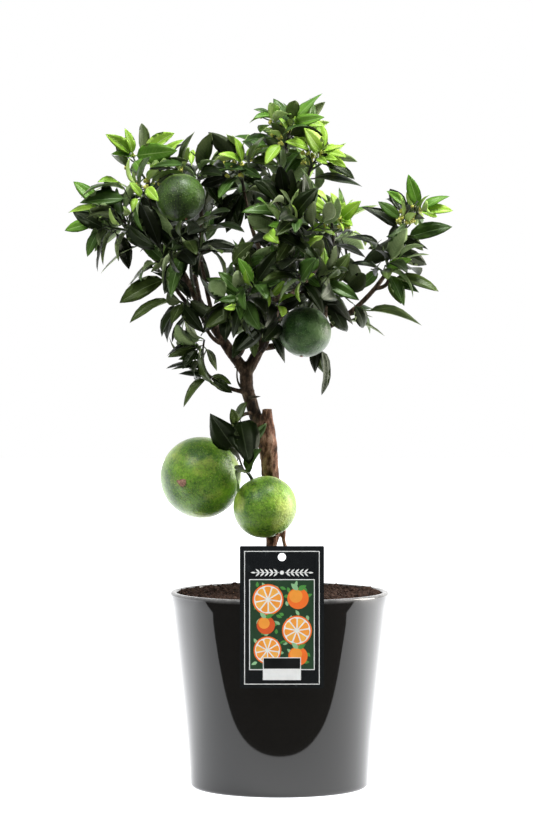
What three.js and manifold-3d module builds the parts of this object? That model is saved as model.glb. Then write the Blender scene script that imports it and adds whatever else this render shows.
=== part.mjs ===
// A mandarin orange tree in a glazed pot: pot, soil, trunk, boughs, masses of foliage with their
// fruit, and the card that hangs on the pot's rim. Millimetres, +Z up. The origin is the centre of
// the pot's underside, and the tree is seen from the front along +Y.
import * as THREE from "three";
import { mergeVertices } from "three/addons/utils/BufferGeometryUtils.js";
import Module from "manifold-3d";

const wasm = await Module();
wasm.setup();

// Driving dimensions
const GAP = 0.3; // between solids that meet
const POT = {
  height: 188,
  topRadius: 105,
  baseRadius: 85.5,
  wall: 6.5,
  floor: 9,
  flare: 1.12, // above 1, the side flares more towards the rim
  footRound: 4,
  lipRound: 2.6,
  sides: 40,
};
const SOIL = { level: 186.3, edgeDrop: 1.2, moundRadius: 60 };
const CARD = {
  width: 78.6,
  height: 133,
  thick: 0.8,
  foot: 106.4,
  middle: 1.9,
  holeRadius: 3.8,
  holeDrop: 10.3,
};
const HOOK = { width: 16, thick: 0.8, drop: 2.8, clear: 1 };

const LEAF = {
  length: 52,
  halfWidth: 12,
  thick: 0.9,
  petiole: 0.12, // share of the length
  fold: 0.4, // how far the halves of the blade rise from the midrib, in radians
  widestAt: 0.4, // share of the blade's length
  ribAt: 0.45,
  shoulderAt: 0.24,
  cheekAt: 0.62,
};
const TWIG = { rootRadius: 1.7, tipRadius: 1, sides: 3 };
const GOLDEN = Math.PI * (3 - Math.sqrt(5));
const UP = new THREE.Vector3(0, 0, 1);
const FRONT = new THREE.Vector3(0, -1, 0);
const CROWN_CENTRE = new THREE.Vector3(-10, 0, 480);
const CROWN_REACH = { left: -205, right: 166, front: -122, back: 142, top: 665 };

// The trunk's centre line from the soil to the fork, each point with its radius. It is
// the old stem to its cut stub's foot, and then the younger leader that took over.
const TRUNK = [
  { at: [-9, 0, SOIL.level + GAP], radius: 9.5 },
  { at: [-8.5, 0, 196], radius: 6 },
  { at: [-8.2, 0, 228], radius: 4.6 },
  { at: [-5.5, 0, 252], radius: 8.6 },
  { at: [-7.5, 0, 285], radius: 8.8 },
  { at: [-10.5, 1, 318], radius: 8.2 },
  { at: [-18, 3, 342], radius: 6.2 },
  { at: [-25, 3, 362], radius: 6.2 },
  { at: [-30.5, 1, 381], radius: 6.5 },
  { at: [-31.8, 0, 394], radius: 6.5 },
  { at: [-31.4, 0, 402], radius: 5.2 },
];
const STUB = [
  { at: [-10, 0, 300], radius: 8 },
  { at: [-10, -1, 325], radius: 8.3 },
  { at: [-11.5, -2, 345], radius: 6.8 },
  { at: [-12, -2, 363.5], radius: 4.7 },
];
const SIDE_ROOT = [
  { at: [-3, 0, 262], radius: 5 },
  { at: [3, 0, 248], radius: 3 },
  { at: [4.2, 0, 236], radius: 1.9 },
  { at: [8, -0.5, 222], radius: 2 },
  { at: [11, -1, 208], radius: 2.3 },
  { at: [15, -2, SOIL.level + GAP], radius: 5 },
];

// Each bough grows from a share of the way up its parent to its tip. bow is how far its
// middle stands off the straight line.
const BOUGHS = [
  { name: "left_bough", parent: "trunk", from: 0.95, tip: [-120, -4, 546], bow: [2, 0, -12],
    radii: [6, 2.5] },
  { name: "right_bough", parent: "trunk", from: 0.95, tip: [4, 4, 592], bow: [14, 0, -12], radii: [6, 2.3] },
  { name: "far_left_bough", parent: "left_bough", from: 0.68, tip: [-132, -6, 520],
    bow: [0, 0, -4], radii: [2.7, 2] },
  { name: "left_low_bough", parent: "left_bough", from: 0.42, tip: [-104, -12, 487],
    bow: [-2, 0, -4], radii: [2.6, 1.9] },
  { name: "inner_left_bough", parent: "left_bough", from: 0.52, tip: [-82, -28, 500],
    bow: [0, -3, 0], radii: [2.5, 1.9] },
  { name: "upper_inner_bough", parent: "left_bough", from: 0.62, tip: [-78, 10, 574],
    bow: [6, 2, 0], radii: [2.6, 1.9] },
  { name: "back_left_bough", parent: "left_bough", from: 0.34, tip: [-76, 45, 505],
    bow: [0, 7, -5], radii: [2.7, 1.9] },
  { name: "left_under_bough", parent: "left_bough", from: 0.24, tip: [-72, -14, 446],
    bow: [-2, -2, -4], radii: [2.4, 1.8] },
  { name: "front_left_bough", parent: "left_bough", from: 0.13, tip: [-32, -40, 440],
    bow: [3, -7, -3], radii: [2.6, 1.9] },
  { name: "low_mid_bough", parent: "right_bough", from: 0.1, tip: [-10, -32, 434],
    bow: [2, -5, -2], radii: [2.4, 1.8] },
  { name: "upper_mid_bough", parent: "right_bough", from: 0.5, tip: [-34, 4, 572],
    bow: [-5, 0, -4], radii: [2.6, 1.9] },
  { name: "centre_bough", parent: "right_bough", from: 0.44, tip: [12, -36, 512],
    bow: [0, -6, -4], radii: [2.6, 1.9] },
  { name: "centre_low_bough", parent: "right_bough", from: 0.27, tip: [14, -44, 470],
    bow: [0, -6, -3], radii: [2.6, 1.9] },
  { name: "young_bough", parent: "right_bough", from: 0.36, tip: [48, -16, 514], bow: [5, -2, -6],
    radii: [2.6, 1.9] },
  { name: "upper_right_bough", parent: "right_bough", from: 0.68, tip: [26, 0, 580],
    bow: [3, 0, -4], radii: [2.3, 1.8] },
  { name: "far_right_bough", parent: "right_bough", from: 0.15, tip: [116, 2, 518],
    bow: [14, 3, -18], radii: [3.4, 2] },
  { name: "right_low_bough", parent: "far_right_bough", from: 0.36, tip: [46, -30, 466],
    bow: [0, -4, 3], radii: [2.4, 1.8] },
  { name: "hanging_bough", parent: "far_right_bough", from: 0.24, tip: [34, -12, 434],
    bow: [2, -3, 3], radii: [2.2, 1.7] },
  { name: "right_tail_bough", parent: "far_right_bough", from: 0.42, tip: [62, 12, 449],
    bow: [0, 2, -2], radii: [2.2, 1.8] },
  { name: "right_side_bough", parent: "far_right_bough", from: 0.74, tip: [104, -10, 488],
    bow: [3, -2, -2], radii: [2.3, 1.8] },
  { name: "back_right_bough", parent: "right_bough", from: 0.4, tip: [46, 46, 512],
    bow: [3, 6, -4], radii: [2.7, 1.9] },
  { name: "back_top_bough", parent: "right_bough", from: 0.58, tip: [-4, 46, 568],
    bow: [0, 7, -4], radii: [2.6, 1.9] },
  { name: "back_low_bough", parent: "right_bough", from: 0.22, tip: [2, 50, 466], bow: [0, 6, -3],
    radii: [2.7, 1.9] },
  { name: "low_left_bough", parent: "trunk", from: 0.79, tip: [-65, -4, 393], bow: [0, 0, -3],
    radii: [2.4, 1.7] },
  { name: "fruiting_bough", parent: "trunk", from: 0.68, tip: [-38, -17, 356], bow: [-1, -2, 2],
    radii: [2.2, 1.7] },
];

// Each mass of foliage has a leader from its bough's tip to its own, with side shoots of
// about the spread's length. sweep leans its leaves one way, size scales them, and bare is the
// share of its leader that carries none.
const MASSES = [
  { name: "upper_left_mass", bough: "left_bough", tip: [-123, -10, 594], spread: 27, shoots: 4, seed: 8 },
  { name: "far_left_mass", bough: "far_left_bough", tip: [-150, -12, 545], spread: 34, shoots: 5,
    sweep: [-0.2, 0, -0.1], seed: 17 },
  { name: "left_low_mass", bough: "left_low_bough", tip: [-117, -18, 504], spread: 12, shoots: 2,
    sweep: [-0.9, 0, -0.6], seed: 28 },
  { name: "left_under_mass", bough: "left_under_bough", tip: [-99, -20, 468], spread: 14,
    shoots: 2, sweep: [-0.3, 0, -0.8], seed: 80 },
  { name: "inner_left_mass", bough: "inner_left_bough", tip: [-66, -52, 516], spread: 26,
    shoots: 3, sweep: [0.1, -0.1, -0.5], seed: 34 },
  { name: "upper_inner_mass", bough: "upper_inner_bough", tip: [-66, -4, 595], spread: 20,
    shoots: 3, sweep: [0.2, 0, 0.1], seed: 39 },
  { name: "front_left_mass", bough: "front_left_bough", tip: [-27, -74, 484], spread: 30,
    shoots: 4, seed: 14 },
  { name: "back_left_mass", bough: "back_left_bough", tip: [-92, 84, 552], spread: 38, shoots: 5, seed: 26 },
  { name: "low_mid_mass", bough: "low_mid_bough", tip: [-16, -58, 450], spread: 20, shoots: 2,
    sweep: [0, -0.2, -0.5], seed: 65 },
  { name: "upper_mid_mass", bough: "upper_mid_bough", tip: [-40, -4, 598], spread: 22, shoots: 3, seed: 14 },
  { name: "top_mass", bough: "right_bough", tip: [12, 0, 636], spread: 22, shoots: 4, seed: 74 },
  { name: "centre_mass", bough: "centre_bough", tip: [10, -68, 548], spread: 32, shoots: 4, seed: 32 },
  { name: "centre_low_mass", bough: "centre_low_bough", tip: [18, -80, 492], spread: 28,
    shoots: 3, seed: 17 },
  { name: "young_mass", bough: "young_bough", tip: [46, -36, 552], spread: 14, shoots: 3, seed: 16 },
  { name: "upper_right_mass", bough: "upper_right_bough", tip: [36, -8, 604], spread: 18,
    shoots: 3, seed: 17 },
  { name: "far_right_mass", bough: "far_right_bough", tip: [121, 0, 556], spread: 16, shoots: 3, seed: 14 },
  { name: "right_side_mass", bough: "right_side_bough", tip: [104, -20, 502], spread: 18,
    shoots: 3, sweep: [0.2, 0, 0], seed: 4 },
  { name: "right_tail_mass", bough: "right_tail_bough", tip: [80, 12, 458], spread: 8, shoots: 1,
    sweep: [1, 0, 0.35], seed: 13 },
  { name: "right_low_mass", bough: "right_low_bough", tip: [46, -56, 474], spread: 24, shoots: 3,
    sweep: [0.2, -0.2, -0.3], seed: 74 },
  { name: "hanging_mass", bough: "hanging_bough", tip: [41, -18, 426], spread: 6, shoots: 0,
    sweep: [0, 0.1, -2], seed: 20 },
  { name: "back_right_mass", bough: "back_right_bough", tip: [56, 84, 542], spread: 38, shoots: 5, seed: 74 },
  { name: "back_top_mass", bough: "back_top_bough", tip: [-10, 74, 590], spread: 34, shoots: 5, seed: 20 },
  { name: "back_low_mass", bough: "back_low_bough", tip: [-6, 94, 492], spread: 38, shoots: 5, seed: 53 },
  { name: "low_left_mass", bough: "low_left_bough", tip: [-72, -8, 430], spread: 16, shoots: 2,
    sweep: [-0.9, -0.1, -0.4], size: 0.85, bare: 0, seed: 50 },
  { name: "fruiting_mass", bough: "fruiting_bough", tip: [-33, -40, 304], spread: 14, shoots: 1,
    sweep: [-0.5, -0.3, 0.3], bare: 0, seed: 29 },
];

// Green fruit: centre, radius, and the direction from the centre to the stalk.
const FRUIT = [
  { mass: "upper_left_mass", at: [-94, -38, 565], radius: 23.5, stalk: [-0.25, 0.35, 0.9], from: 0.55 },
  { mass: "right_low_mass", at: [24, -50, 438], radius: 24.7, stalk: [0.15, 0.2, 0.97], from: 0.3 },
  { mass: "fruiting_mass", at: [-75.2, -17, 298.5], radius: 39, stalk: [0.55, 0.75, 0.35], from: 0.6 },
  { mass: "fruiting_mass", at: [-14, -44, 272], radius: 30.3, stalk: [-0.42, 0.2, 0.88], from: 0.98 },
];

// Leaves that show by themselves in the crown's outline: where each ends, the x and z of its
// foot, and how much of its face it turns to the front.
const LEADING_LEAVES = [
  { mass: "upper_left_mass", tip: [-166, -14, 626], foot: [-135, 613], show: 0.8 },
  { mass: "upper_left_mass", tip: [-148, -6, 632], foot: [-136, 616], show: 0.8 },
  { mass: "upper_left_mass", tip: [-100, -14, 627], foot: [-126, 618], show: 0.7 },
  { mass: "upper_left_mass", tip: [-91, -8, 621], foot: [-114, 611], show: 0.8 },
  { mass: "upper_left_mass", tip: [-161, -10, 607], foot: [-139, 606], show: 0.7 },
  { mass: "upper_left_mass", tip: [-130, -32, 588], foot: [-134, 606], show: 1 },
  { mass: "upper_left_mass", tip: [-81, 0, 629], foot: [-88, 604], show: 0.6 },
  { mass: "far_left_mass", tip: [-197, -10, 581], foot: [-179, 563], show: 0.9 },
  { mass: "far_left_mass", tip: [-202, -12, 551], foot: [-181, 550], show: 0.7 },
  { mass: "far_left_mass", tip: [-205, -18, 534], foot: [-176, 545], show: 0.9 },
  { mass: "far_left_mass", tip: [-183, -26, 509], foot: [-171, 535], show: 0.9 },
  { mass: "far_left_mass", tip: [-171, -10, 493], foot: [-136, 518], show: 0.4 },
  { mass: "far_left_mass", tip: [-144, -6, 497], foot: [-160, 527], show: 0.6 },
  { mass: "far_left_mass", tip: [-172, 6, 583], foot: [-148, 577], show: 0.6 },
  { mass: "left_low_mass", tip: [-145, -20, 481], foot: [-116, 504], show: 0.6 },
  { mass: "left_low_mass", tip: [-153, -14, 465], foot: [-109, 486], show: 0.75 },
  { mass: "left_under_mass", tip: [-143, -24, 446], foot: [-105, 470], show: 0.45 },
  { mass: "left_under_mass", tip: [-107, -20, 427], foot: [-105, 468], show: 0.8 },
  { mass: "left_under_mass", tip: [-72, -28, 437], foot: [-95, 468], show: 1 },
  { mass: "inner_left_mass", tip: [-36, -50, 515], foot: [-85, 511], show: 0.5 },
  { mass: "upper_inner_mass", tip: [-72, 0, 618], foot: [-51, 624], show: 0.5 },
  { mass: "back_left_mass", tip: [-112, 128, 566], foot: [-92, 552], show: 0.6 },
  { mass: "back_left_mass", tip: [-134, 100, 570], foot: [-92, 552], show: 0.6 },
  { mass: "low_mid_mass", tip: [-45, -52, 413], foot: [-51, 440], show: 1 },
  { mass: "low_mid_mass", tip: [5, -40, 408], foot: [-13, 440], show: 0.7 },
  { mass: "upper_mid_mass", tip: [-51, -4, 532], foot: [-31, 566], show: 1 },
  { mass: "upper_mid_mass", tip: [-43, -14, 623], foot: [-38, 602], show: 0.6 },
  { mass: "top_mass", tip: [41, -6, 665], foot: [15, 643], show: 0.8 },
  { mass: "top_mass", tip: [43, -16, 642], foot: [17, 648], show: 1 },
  { mass: "top_mass", tip: [44, -4, 634], foot: [20, 638], show: 0.7 },
  { mass: "top_mass", tip: [-25, -12, 641], foot: [-3, 652], show: 0.9 },
  { mass: "top_mass", tip: [-25, 0, 650], foot: [-7, 657], show: 0.8 },
  { mass: "top_mass", tip: [3, 4, 657], foot: [12, 641], show: 0.6 },
  { mass: "centre_low_mass", tip: [34, -121, 508], foot: [18, 492], show: 0.9 },
  { mass: "young_mass", tip: [82, -30, 508], foot: [54, 520], show: 0.5 },
  { mass: "young_mass", tip: [77, -50, 562], foot: [60, 551], show: 1 },
  { mass: "young_mass", tip: [69, -44, 538], foot: [58, 550], show: 0.8 },
  { mass: "upper_right_mass", tip: [79, -10, 576], foot: [29, 583], show: 0.4 },
  { mass: "upper_right_mass", tip: [72, -4, 583], foot: [41, 597], show: 0.6 },
  { mass: "upper_right_mass", tip: [64, -16, 604], foot: [37, 612], show: 0.6 },
  { mass: "upper_right_mass", tip: [62, -6, 615], foot: [39, 611], show: 0.6 },
  { mass: "far_right_mass", tip: [123, -4, 588], foot: [133, 559], show: 1 },
  { mass: "far_right_mass", tip: [94, -8, 562], foot: [117, 544], show: 1 },
  { mass: "far_right_mass", tip: [163, 0, 567], foot: [135, 556], show: 0.8 },
  { mass: "far_right_mass", tip: [166, -6, 553], foot: [136, 548], show: 0.7 },
  { mass: "far_right_mass", tip: [166, 6, 538], foot: [119, 525], show: 0.9 },
  { mass: "far_right_mass", tip: [138, 2, 515], foot: [133, 529], show: 1 },
  { mass: "far_right_mass", tip: [78, 4, 557], foot: [111, 530], show: 0.9 },
  { mass: "right_side_mass", tip: [63, -18, 528], foot: [99, 524], show: 0.7 },
  { mass: "right_side_mass", tip: [143, -18, 511], foot: [113, 505], show: 0.3 },
  { mass: "right_side_mass", tip: [126, -26, 507], foot: [98, 495], show: 0.9 },
  { mass: "right_side_mass", tip: [152, -16, 476], foot: [107, 488], show: 0.25 },
  { mass: "right_side_mass", tip: [133, -22, 475], foot: [107, 486], show: 0.8 },
  { mass: "right_side_mass", tip: [116, -18, 464], foot: [105, 476], show: 1 },
  { mass: "right_side_mass", tip: [75, -30, 478], foot: [96, 496], show: 1 },
  { mass: "right_side_mass", tip: [68, -26, 503], foot: [95, 497], show: 0.5 },
  { mass: "right_tail_mass", tip: [137, 10, 443], foot: [81, 457], show: 0.5 },
  { mass: "right_tail_mass", tip: [101, 2, 433], foot: [56, 438], show: 0.35 },
  { mass: "right_tail_mass", tip: [90, 8, 451], foot: [63, 460], show: 0.35 },
  { mass: "right_low_mass", tip: [69, -62, 445], foot: [36, 476], show: 0.9 },
  { mass: "right_low_mass", tip: [75, -66, 468], foot: [40, 485], show: 1 },
  { mass: "hanging_mass", tip: [40, -18, 377], foot: [40, 420], show: 0.44 },
  { mass: "back_right_mass", tip: [74, 128, 566], foot: [56, 542], show: 0.6 },
  { mass: "back_right_mass", tip: [98, 104, 560], foot: [56, 542], show: 0.6 },
  { mass: "back_top_mass", tip: [-26, 120, 612], foot: [-10, 590], show: 0.6 },
  { mass: "back_low_mass", tip: [14, 142, 514], foot: [-6, 492], show: 0.6 },
  { mass: "back_low_mass", tip: [-32, 139, 476], foot: [-6, 492], show: 0.6 },
  { mass: "low_left_mass", tip: [-97, -8, 397], foot: [-67, 394], show: 0.8 },
  { mass: "low_left_mass", tip: [-104, -4, 401], foot: [-67, 404], show: 0.7 },
  { mass: "low_left_mass", tip: [-107, -6, 413], foot: [-73, 425], show: 0.8 },
  { mass: "low_left_mass", tip: [-92, -8, 365], foot: [-71, 391], show: 0.7 },
  { mass: "low_left_mass", tip: [-45, -12, 379], foot: [-64, 391], show: 1 },
  { mass: "fruiting_mass", tip: [-66, -46, 361], foot: [-40, 323], show: 1 },
  { mass: "fruiting_mass", tip: [-29, -58, 313], foot: [-28, 355], show: 1 },
];

// Places where no leaf comes: in front of the fruit and the fork, and where sky shows.
const CLEARINGS = [
  { x: -94, z: 565, radius: 18, behind: -38 },
  { x: 24, z: 438, radius: 20, behind: -50 },
  { x: -76, z: 297, radius: 34, behind: 200 },
  { x: -14, z: 270, radius: 28, behind: 200 },
  { x: -34, z: 400, radius: 20, behind: 30 },
  { x: -2, z: 402, radius: 22, behind: 200 },
  { x: -56, z: 529, radius: 7, behind: 200 },
  { x: -44, z: 533, radius: 7, behind: 200 },
  { x: -75, z: 526, radius: 4, behind: 200 },
  { x: -44, z: 519, radius: 5, behind: 200 },
  { x: -63, z: 504, radius: 6, behind: 200 },
  { x: -49, z: 509, radius: 5, behind: 200 },
  { x: 78, z: 552, radius: 9, behind: 200 },
  { x: 89, z: 540, radius: 12, behind: 200 },
  { x: 75, z: 518, radius: 8, behind: 200 },
  { x: 101, z: 463, radius: 8, behind: 200 },
  { x: 60, z: 569, radius: 7, behind: 200 },
  { x: 68, z: 594, radius: 4, behind: 200 },
  { x: 93, z: 580, radius: 12, behind: 200 },
  { x: 51, z: 630, radius: 6, behind: 200 },
  { x: -34, z: 632, radius: 6, behind: 200 },
  { x: -68, z: 613, radius: 5, behind: 200 },
  { x: -157, z: 592, radius: 8, behind: 200 },
  { x: -133, z: 506, radius: 7, behind: 200 },
  { x: -116, z: 491, radius: 4, behind: 200 },
  { x: -115, z: 476, radius: 5, behind: 200 },
  { x: -122, z: 453, radius: 7, behind: 200 },
];

function seeded(seed) {
  let state = seed * 7919;
  return () => {
    state = (state * 48271) % 2147483647;
    return state / 2147483647;
  };
}

const vector = (a) => new THREE.Vector3(...a);
const mix = (a, b, t) => a + (b - a) * t;

// Solids

function toSolid(geometry) {
  const bare = new THREE.BufferGeometry().setAttribute("position", geometry.getAttribute("position"));
  if (geometry.index) bare.setIndex(geometry.index);
  const merged = mergeVertices(bare, 1e-4);
  return new wasm.Manifold(
    new wasm.Mesh({
      numProp: 3,
      vertProperties: merged.attributes.position.array,
      triVerts: new Uint32Array(merged.index.array),
    }),
  );
}

function toGeometry(solid) {
  const mesh = solid.getMesh();
  const geometry = new THREE.BufferGeometry();
  geometry.setAttribute("position", new THREE.BufferAttribute(mesh.vertProperties, 3));
  geometry.setIndex(new THREE.BufferAttribute(mesh.triVerts, 1));
  geometry.computeVertexNormals();
  return geometry;
}

// The largest body of a solid, so that a scrap left by a cut is dropped.
function mainBody(solid) {
  return solid.decompose().sort((a, b) => b.volume() - a.volume())[0];
}

function perpendicular(direction, turn = 0) {
  const aside = Math.abs(direction.z) < 0.9 ? UP : new THREE.Vector3(1, 0, 0);
  const first = new THREE.Vector3().crossVectors(direction, aside).normalize();
  const second = new THREE.Vector3().crossVectors(direction, first);
  return first.multiplyScalar(Math.cos(turn)).addScaledVector(second, Math.sin(turn));
}

// Points and cross directions along a curve, turned as little as possible from one to the next.
function framesAlong(curve, steps) {
  let across = perpendicular(curve.getTangent(0));
  return Array.from({ length: steps + 1 }, (_, i) => {
    const tangent = curve.getTangent(i / steps);
    across = across.clone().addScaledVector(tangent, -across.dot(tangent)).normalize();
    return { at: curve.getPoint(i / steps), across, over: new THREE.Vector3().crossVectors(across, tangent) };
  });
}

// A closed tube of changing radius along a curve: a cylinder bent to it.
function tubeGeometry(curve, radiusAt, sides, steps) {
  const tube = new THREE.CylinderGeometry(1, 1, 1, sides, steps);
  const frames = framesAlong(curve, steps);
  const place = tube.getAttribute("position");
  for (let i = 0; i < place.count; i++) {
    const ring = Math.round((place.getY(i) + 0.5) * steps);
    const { at, across, over } = frames[ring];
    const radius = radiusAt(ring / steps);
    const point = at.clone();
    point.addScaledVector(across, place.getX(i) * radius);
    point.addScaledVector(over, place.getZ(i) * radius);
    place.setXYZ(i, point.x, point.y, point.z);
  }
  return tube;
}

const taper = (r0, r1) => (t) => mix(r0, r1, t);

// A limb whose points each state a radius.
function stationLimb(stations) {
  const curve = new THREE.CatmullRomCurve3(stations.map((s) => vector(s.at)), false, "catmullrom", 0.5);
  const radiusAt = (t) => {
    const place = t * (stations.length - 1);
    const i = Math.min(Math.floor(place), stations.length - 2);
    return mix(stations[i].radius, stations[i + 1].radius, place - i);
  };
  return { curve, radiusAt };
}

// Limbs

const limbs = { trunk: stationLimb(TRUNK) };

for (const { name, parent, from, tip, bow, radii } of BOUGHS) {
  const start = limbs[parent].curve.getPoint(from);
  const end = vector(tip);
  const middle = start.clone().lerp(end, 0.5).addScaledVector(vector(bow), 2);
  const curve = new THREE.QuadraticBezierCurve3(start, middle, end);
  limbs[name] = { curve, radiusAt: taper(...radii), parent, tipRadius: radii[1] };
}

const TRUNK_SIDES = 10;
const BOUGH_SIDES = 5;
const BOUGH_STEPS = 4;

function trunkSolid(extra = 0) {
  const parts = [
    [stationLimb(TRUNK), TRUNK_SIDES, 14],
    [stationLimb(STUB), TRUNK_SIDES, 4],
    [stationLimb(SIDE_ROOT), 7, 6],
  ];
  const solids = parts.map(([limb, sides, steps]) =>
    toSolid(tubeGeometry(limb.curve, (t) => limb.radiusAt(t) + extra, sides, steps)),
  );
  return wasm.Manifold.union(solids);
}

// Everything below the soil's top is cut off, which leaves the flat cut at ground level.
function belowSoil() {
  const slab = new THREE.BoxGeometry(200, 200, 100).translate(0, 0, SOIL.level + GAP - 50);
  return toSolid(slab);
}

function boughSolid(name, extra = 0) {
  const { curve, radiusAt } = limbs[name];
  return toSolid(tubeGeometry(curve, (t) => radiusAt(t) + extra, BOUGH_SIDES, BOUGH_STEPS));
}

// A bough is cut clear of its parent and of the boughs made before it at the same fork.
function finishedBough({ name, parent }, index) {
  let solid = boughSolid(name);
  const cutters = [parent === "trunk" ? trunkSolid(GAP) : boughSolid(parent, GAP)];
  BOUGHS.slice(0, index)
    .filter((b) => b.parent === parent)
    .forEach((b) => cutters.push(boughSolid(b.name, GAP)));
  if (parent !== "trunk" && limbs[parent].parent === "trunk") cutters.push(trunkSolid(GAP));
  for (const cutter of cutters) solid = solid.subtract(cutter);
  return mainBody(solid);
}

// Leaves

// A point of a leaf's blade: t runs from its root to its tip, side from -1 to 1 across it,
// and lift is off its face.
function leafPoint(leaf, t, side, lift = 0) {
  const bend = leaf.curl * t;
  const along = (leaf.length * Math.sin(bend)) / leaf.curl;
  const fall = (leaf.length * (1 - Math.cos(bend))) / leaf.curl;
  const width = halfWidth(leaf, t);
  const face = leaf.face.clone().multiplyScalar(Math.cos(bend)).addScaledVector(leaf.heading, Math.sin(bend));
  const right = new THREE.Vector3().crossVectors(leaf.heading, leaf.face);
  const point = leaf.root.clone().addScaledVector(leaf.heading, along).addScaledVector(leaf.face, -fall);
  point.addScaledVector(right, side * width * Math.cos(LEAF.fold));
  return point.addScaledVector(face, Math.abs(side) * width * Math.sin(LEAF.fold) + lift);
}

function halfWidth(leaf, t) {
  const u = Math.max(0, (t - LEAF.petiole) / (1 - LEAF.petiole));
  const rise = 0.65;
  const fade = (rise * (1 - LEAF.widestAt)) / LEAF.widestAt;
  const shape = (x) => x ** rise * (1 - x) ** fade;
  return (leaf.halfWidth * shape(u)) / shape(LEAF.widestAt);
}

// Root, tip, two points on each edge, and one on each face: eight points, twelve faces.
function leafMesh(leaf, thick) {
  const blade = (u) => LEAF.petiole + u * (1 - LEAF.petiole);
  const [shoulder, cheek] = [blade(LEAF.shoulderAt), blade(LEAF.cheekAt)];
  const points = [
    leafPoint(leaf, 0, 0),
    leafPoint(leaf, shoulder, 1),
    leafPoint(leaf, cheek, 1),
    leafPoint(leaf, 1, 0),
    leafPoint(leaf, cheek, -1),
    leafPoint(leaf, shoulder, -1),
    leafPoint(leaf, LEAF.ribAt, 0, thick / 2),
    leafPoint(leaf, LEAF.ribAt, 0, -thick / 2),
  ];
  const faces = [];
  const [rim, top, under] = [6, 6, 7];
  for (let i = 0; i < rim; i++) {
    faces.push([top, i, (i + 1) % rim]);
    faces.push([under, (i + 1) % rim, i]);
  }
  return { points, faces };
}

function meshGeometry({ points, faces }) {
  const geometry = new THREE.BufferGeometry().setFromPoints(points);
  geometry.setIndex(faces.flat());
  return geometry;
}

// Crossing tests keep leaves, twigs and limbs apart

function guard(mesh) {
  const sum = mesh.points.reduce((total, p) => total.add(p), new THREE.Vector3());
  const middle = sum.divideScalar(mesh.points.length);
  const reach = Math.max(...mesh.points.map((p) => p.distanceTo(middle)));
  return { ...mesh, middle, reach };
}

function edgePierces(a, b, p, q, r) {
  const ray = new THREE.Ray(a, b.clone().sub(a).normalize());
  const hit = ray.intersectTriangle(p, q, r, false, new THREE.Vector3());
  return hit !== null && hit.distanceTo(a) <= a.distanceTo(b);
}

function edgesPierce(one, other) {
  return one.faces.some((face) =>
    face.some((from, i) => {
      const to = face[(i + 1) % 3];
      return (
        from < to &&
        other.faces.some(([p, q, r]) =>
          edgePierces(one.points[from], one.points[to], other.points[p], other.points[q], other.points[r]),
        )
      );
    }),
  );
}

function cross(one, other) {
  if (one.middle.distanceTo(other.middle) > one.reach + other.reach) return false;
  return edgesPierce(one, other) || edgesPierce(other, one);
}

function tubeMesh(curve, radiusAt, sides, steps) {
  const tube = tubeGeometry(curve, radiusAt, sides, steps);
  const bare = new THREE.BufferGeometry().setAttribute("position", tube.getAttribute("position"));
  const merged = mergeVertices(bare.setIndex(tube.index), 1e-4);
  const place = merged.getAttribute("position");
  const pointAt = (_, i) => new THREE.Vector3().fromBufferAttribute(place, i);
  const points = Array.from({ length: place.count }, pointAt);
  const index = merged.index.array;
  const faces = Array.from({ length: index.length / 3 }, (_, i) => [...index.slice(3 * i, 3 * i + 3)]);
  return guard({ points, faces });
}

// Twigs: a leader from the bough's tip, and side shoots round it at the golden angle

const KEEP_OFF = 0.8; // how far twigs and leaves stay off what they don't grow on

function leaderShoot(mass) {
  const bough = limbs[mass.bough];
  const heading = bough.curve.getTangent(1);
  const start = bough.curve.getPoint(1).addScaledVector(heading, GAP);
  const tip = vector(mass.tip);
  const reach = start.distanceTo(tip);
  const middle = start.clone().addScaledVector(heading, reach * 0.4);
  const curve = new THREE.QuadraticBezierCurve3(start, middle, tip);
  return { curve, radii: [bough.tipRadius * 0.95, TWIG.tipRadius], steps: 3, bare: mass.bare ?? 0.45, reach };
}

function sideShoot(mass, leader, k, random) {
  const share = mix(0.25, 0.8, (k + 0.5) / mass.shoots);
  const along = leader.curve.getTangent(share);
  const aside = perpendicular(along, k * GOLDEN + random() * 0.8);
  const lean = mix(0.85, 1.15, random());
  const reach = mass.spread * mix(0.8, 1.1, random());
  const aim = along.multiplyScalar(Math.cos(lean)).addScaledVector(aside, Math.sin(lean));
  const root = leader.curve.getPoint(share);
  const middle = root.clone().addScaledVector(aim, reach * 0.55);
  const tip = root.clone().addScaledVector(aim, reach).addScaledVector(UP, reach * 0.2);
  const curve = new THREE.QuadraticBezierCurve3(root, middle, tip);
  return { curve, radii: [TWIG.rootRadius, TWIG.tipRadius], steps: 2, bare: 0.3, reach };
}

function growShoots(mass) {
  const random = seeded(mass.seed);
  const leader = leaderShoot(mass);
  const side = Array.from({ length: mass.shoots }, (_, k) => sideShoot(mass, leader, k, random));
  return [leader, ...side].map((shoot, i) => ({ ...shoot, random: seeded(mass.seed + 1000 + i) }));
}

function twigGuard(twig, mass) {
  const radiusAt = (t) => taper(...twig.radii)(t) + KEEP_OFF;
  return { ...tubeMesh(twig.curve, radiusAt, TWIG.sides, twig.steps), owner: twig, mass };
}

// Leaves along a shoot, spiralling, with the last few at its tip

const LEAF_EVERY = 4.6;
const BARE_END = 0.07; // share of a twig at either end with no root in it, so that each is sunk well in
const LEADING_CURL = 0.5; // radians from root to tip
const LEADING_WIDTH = 0.2; // half the blade's width as a share of its length
const PLACES_TRIED = 20; // along each twig
const DEPTH_COUNTS = 0.2;
const LEAF_DRAWS = 4;
const LEAF_ROOM = 0.72; // share of a leaf's length that a mass reaches past its shoots
const TURNS_TRIED = [0, 0.6, -0.6, 1.2, -1.2, 2.4];

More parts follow.
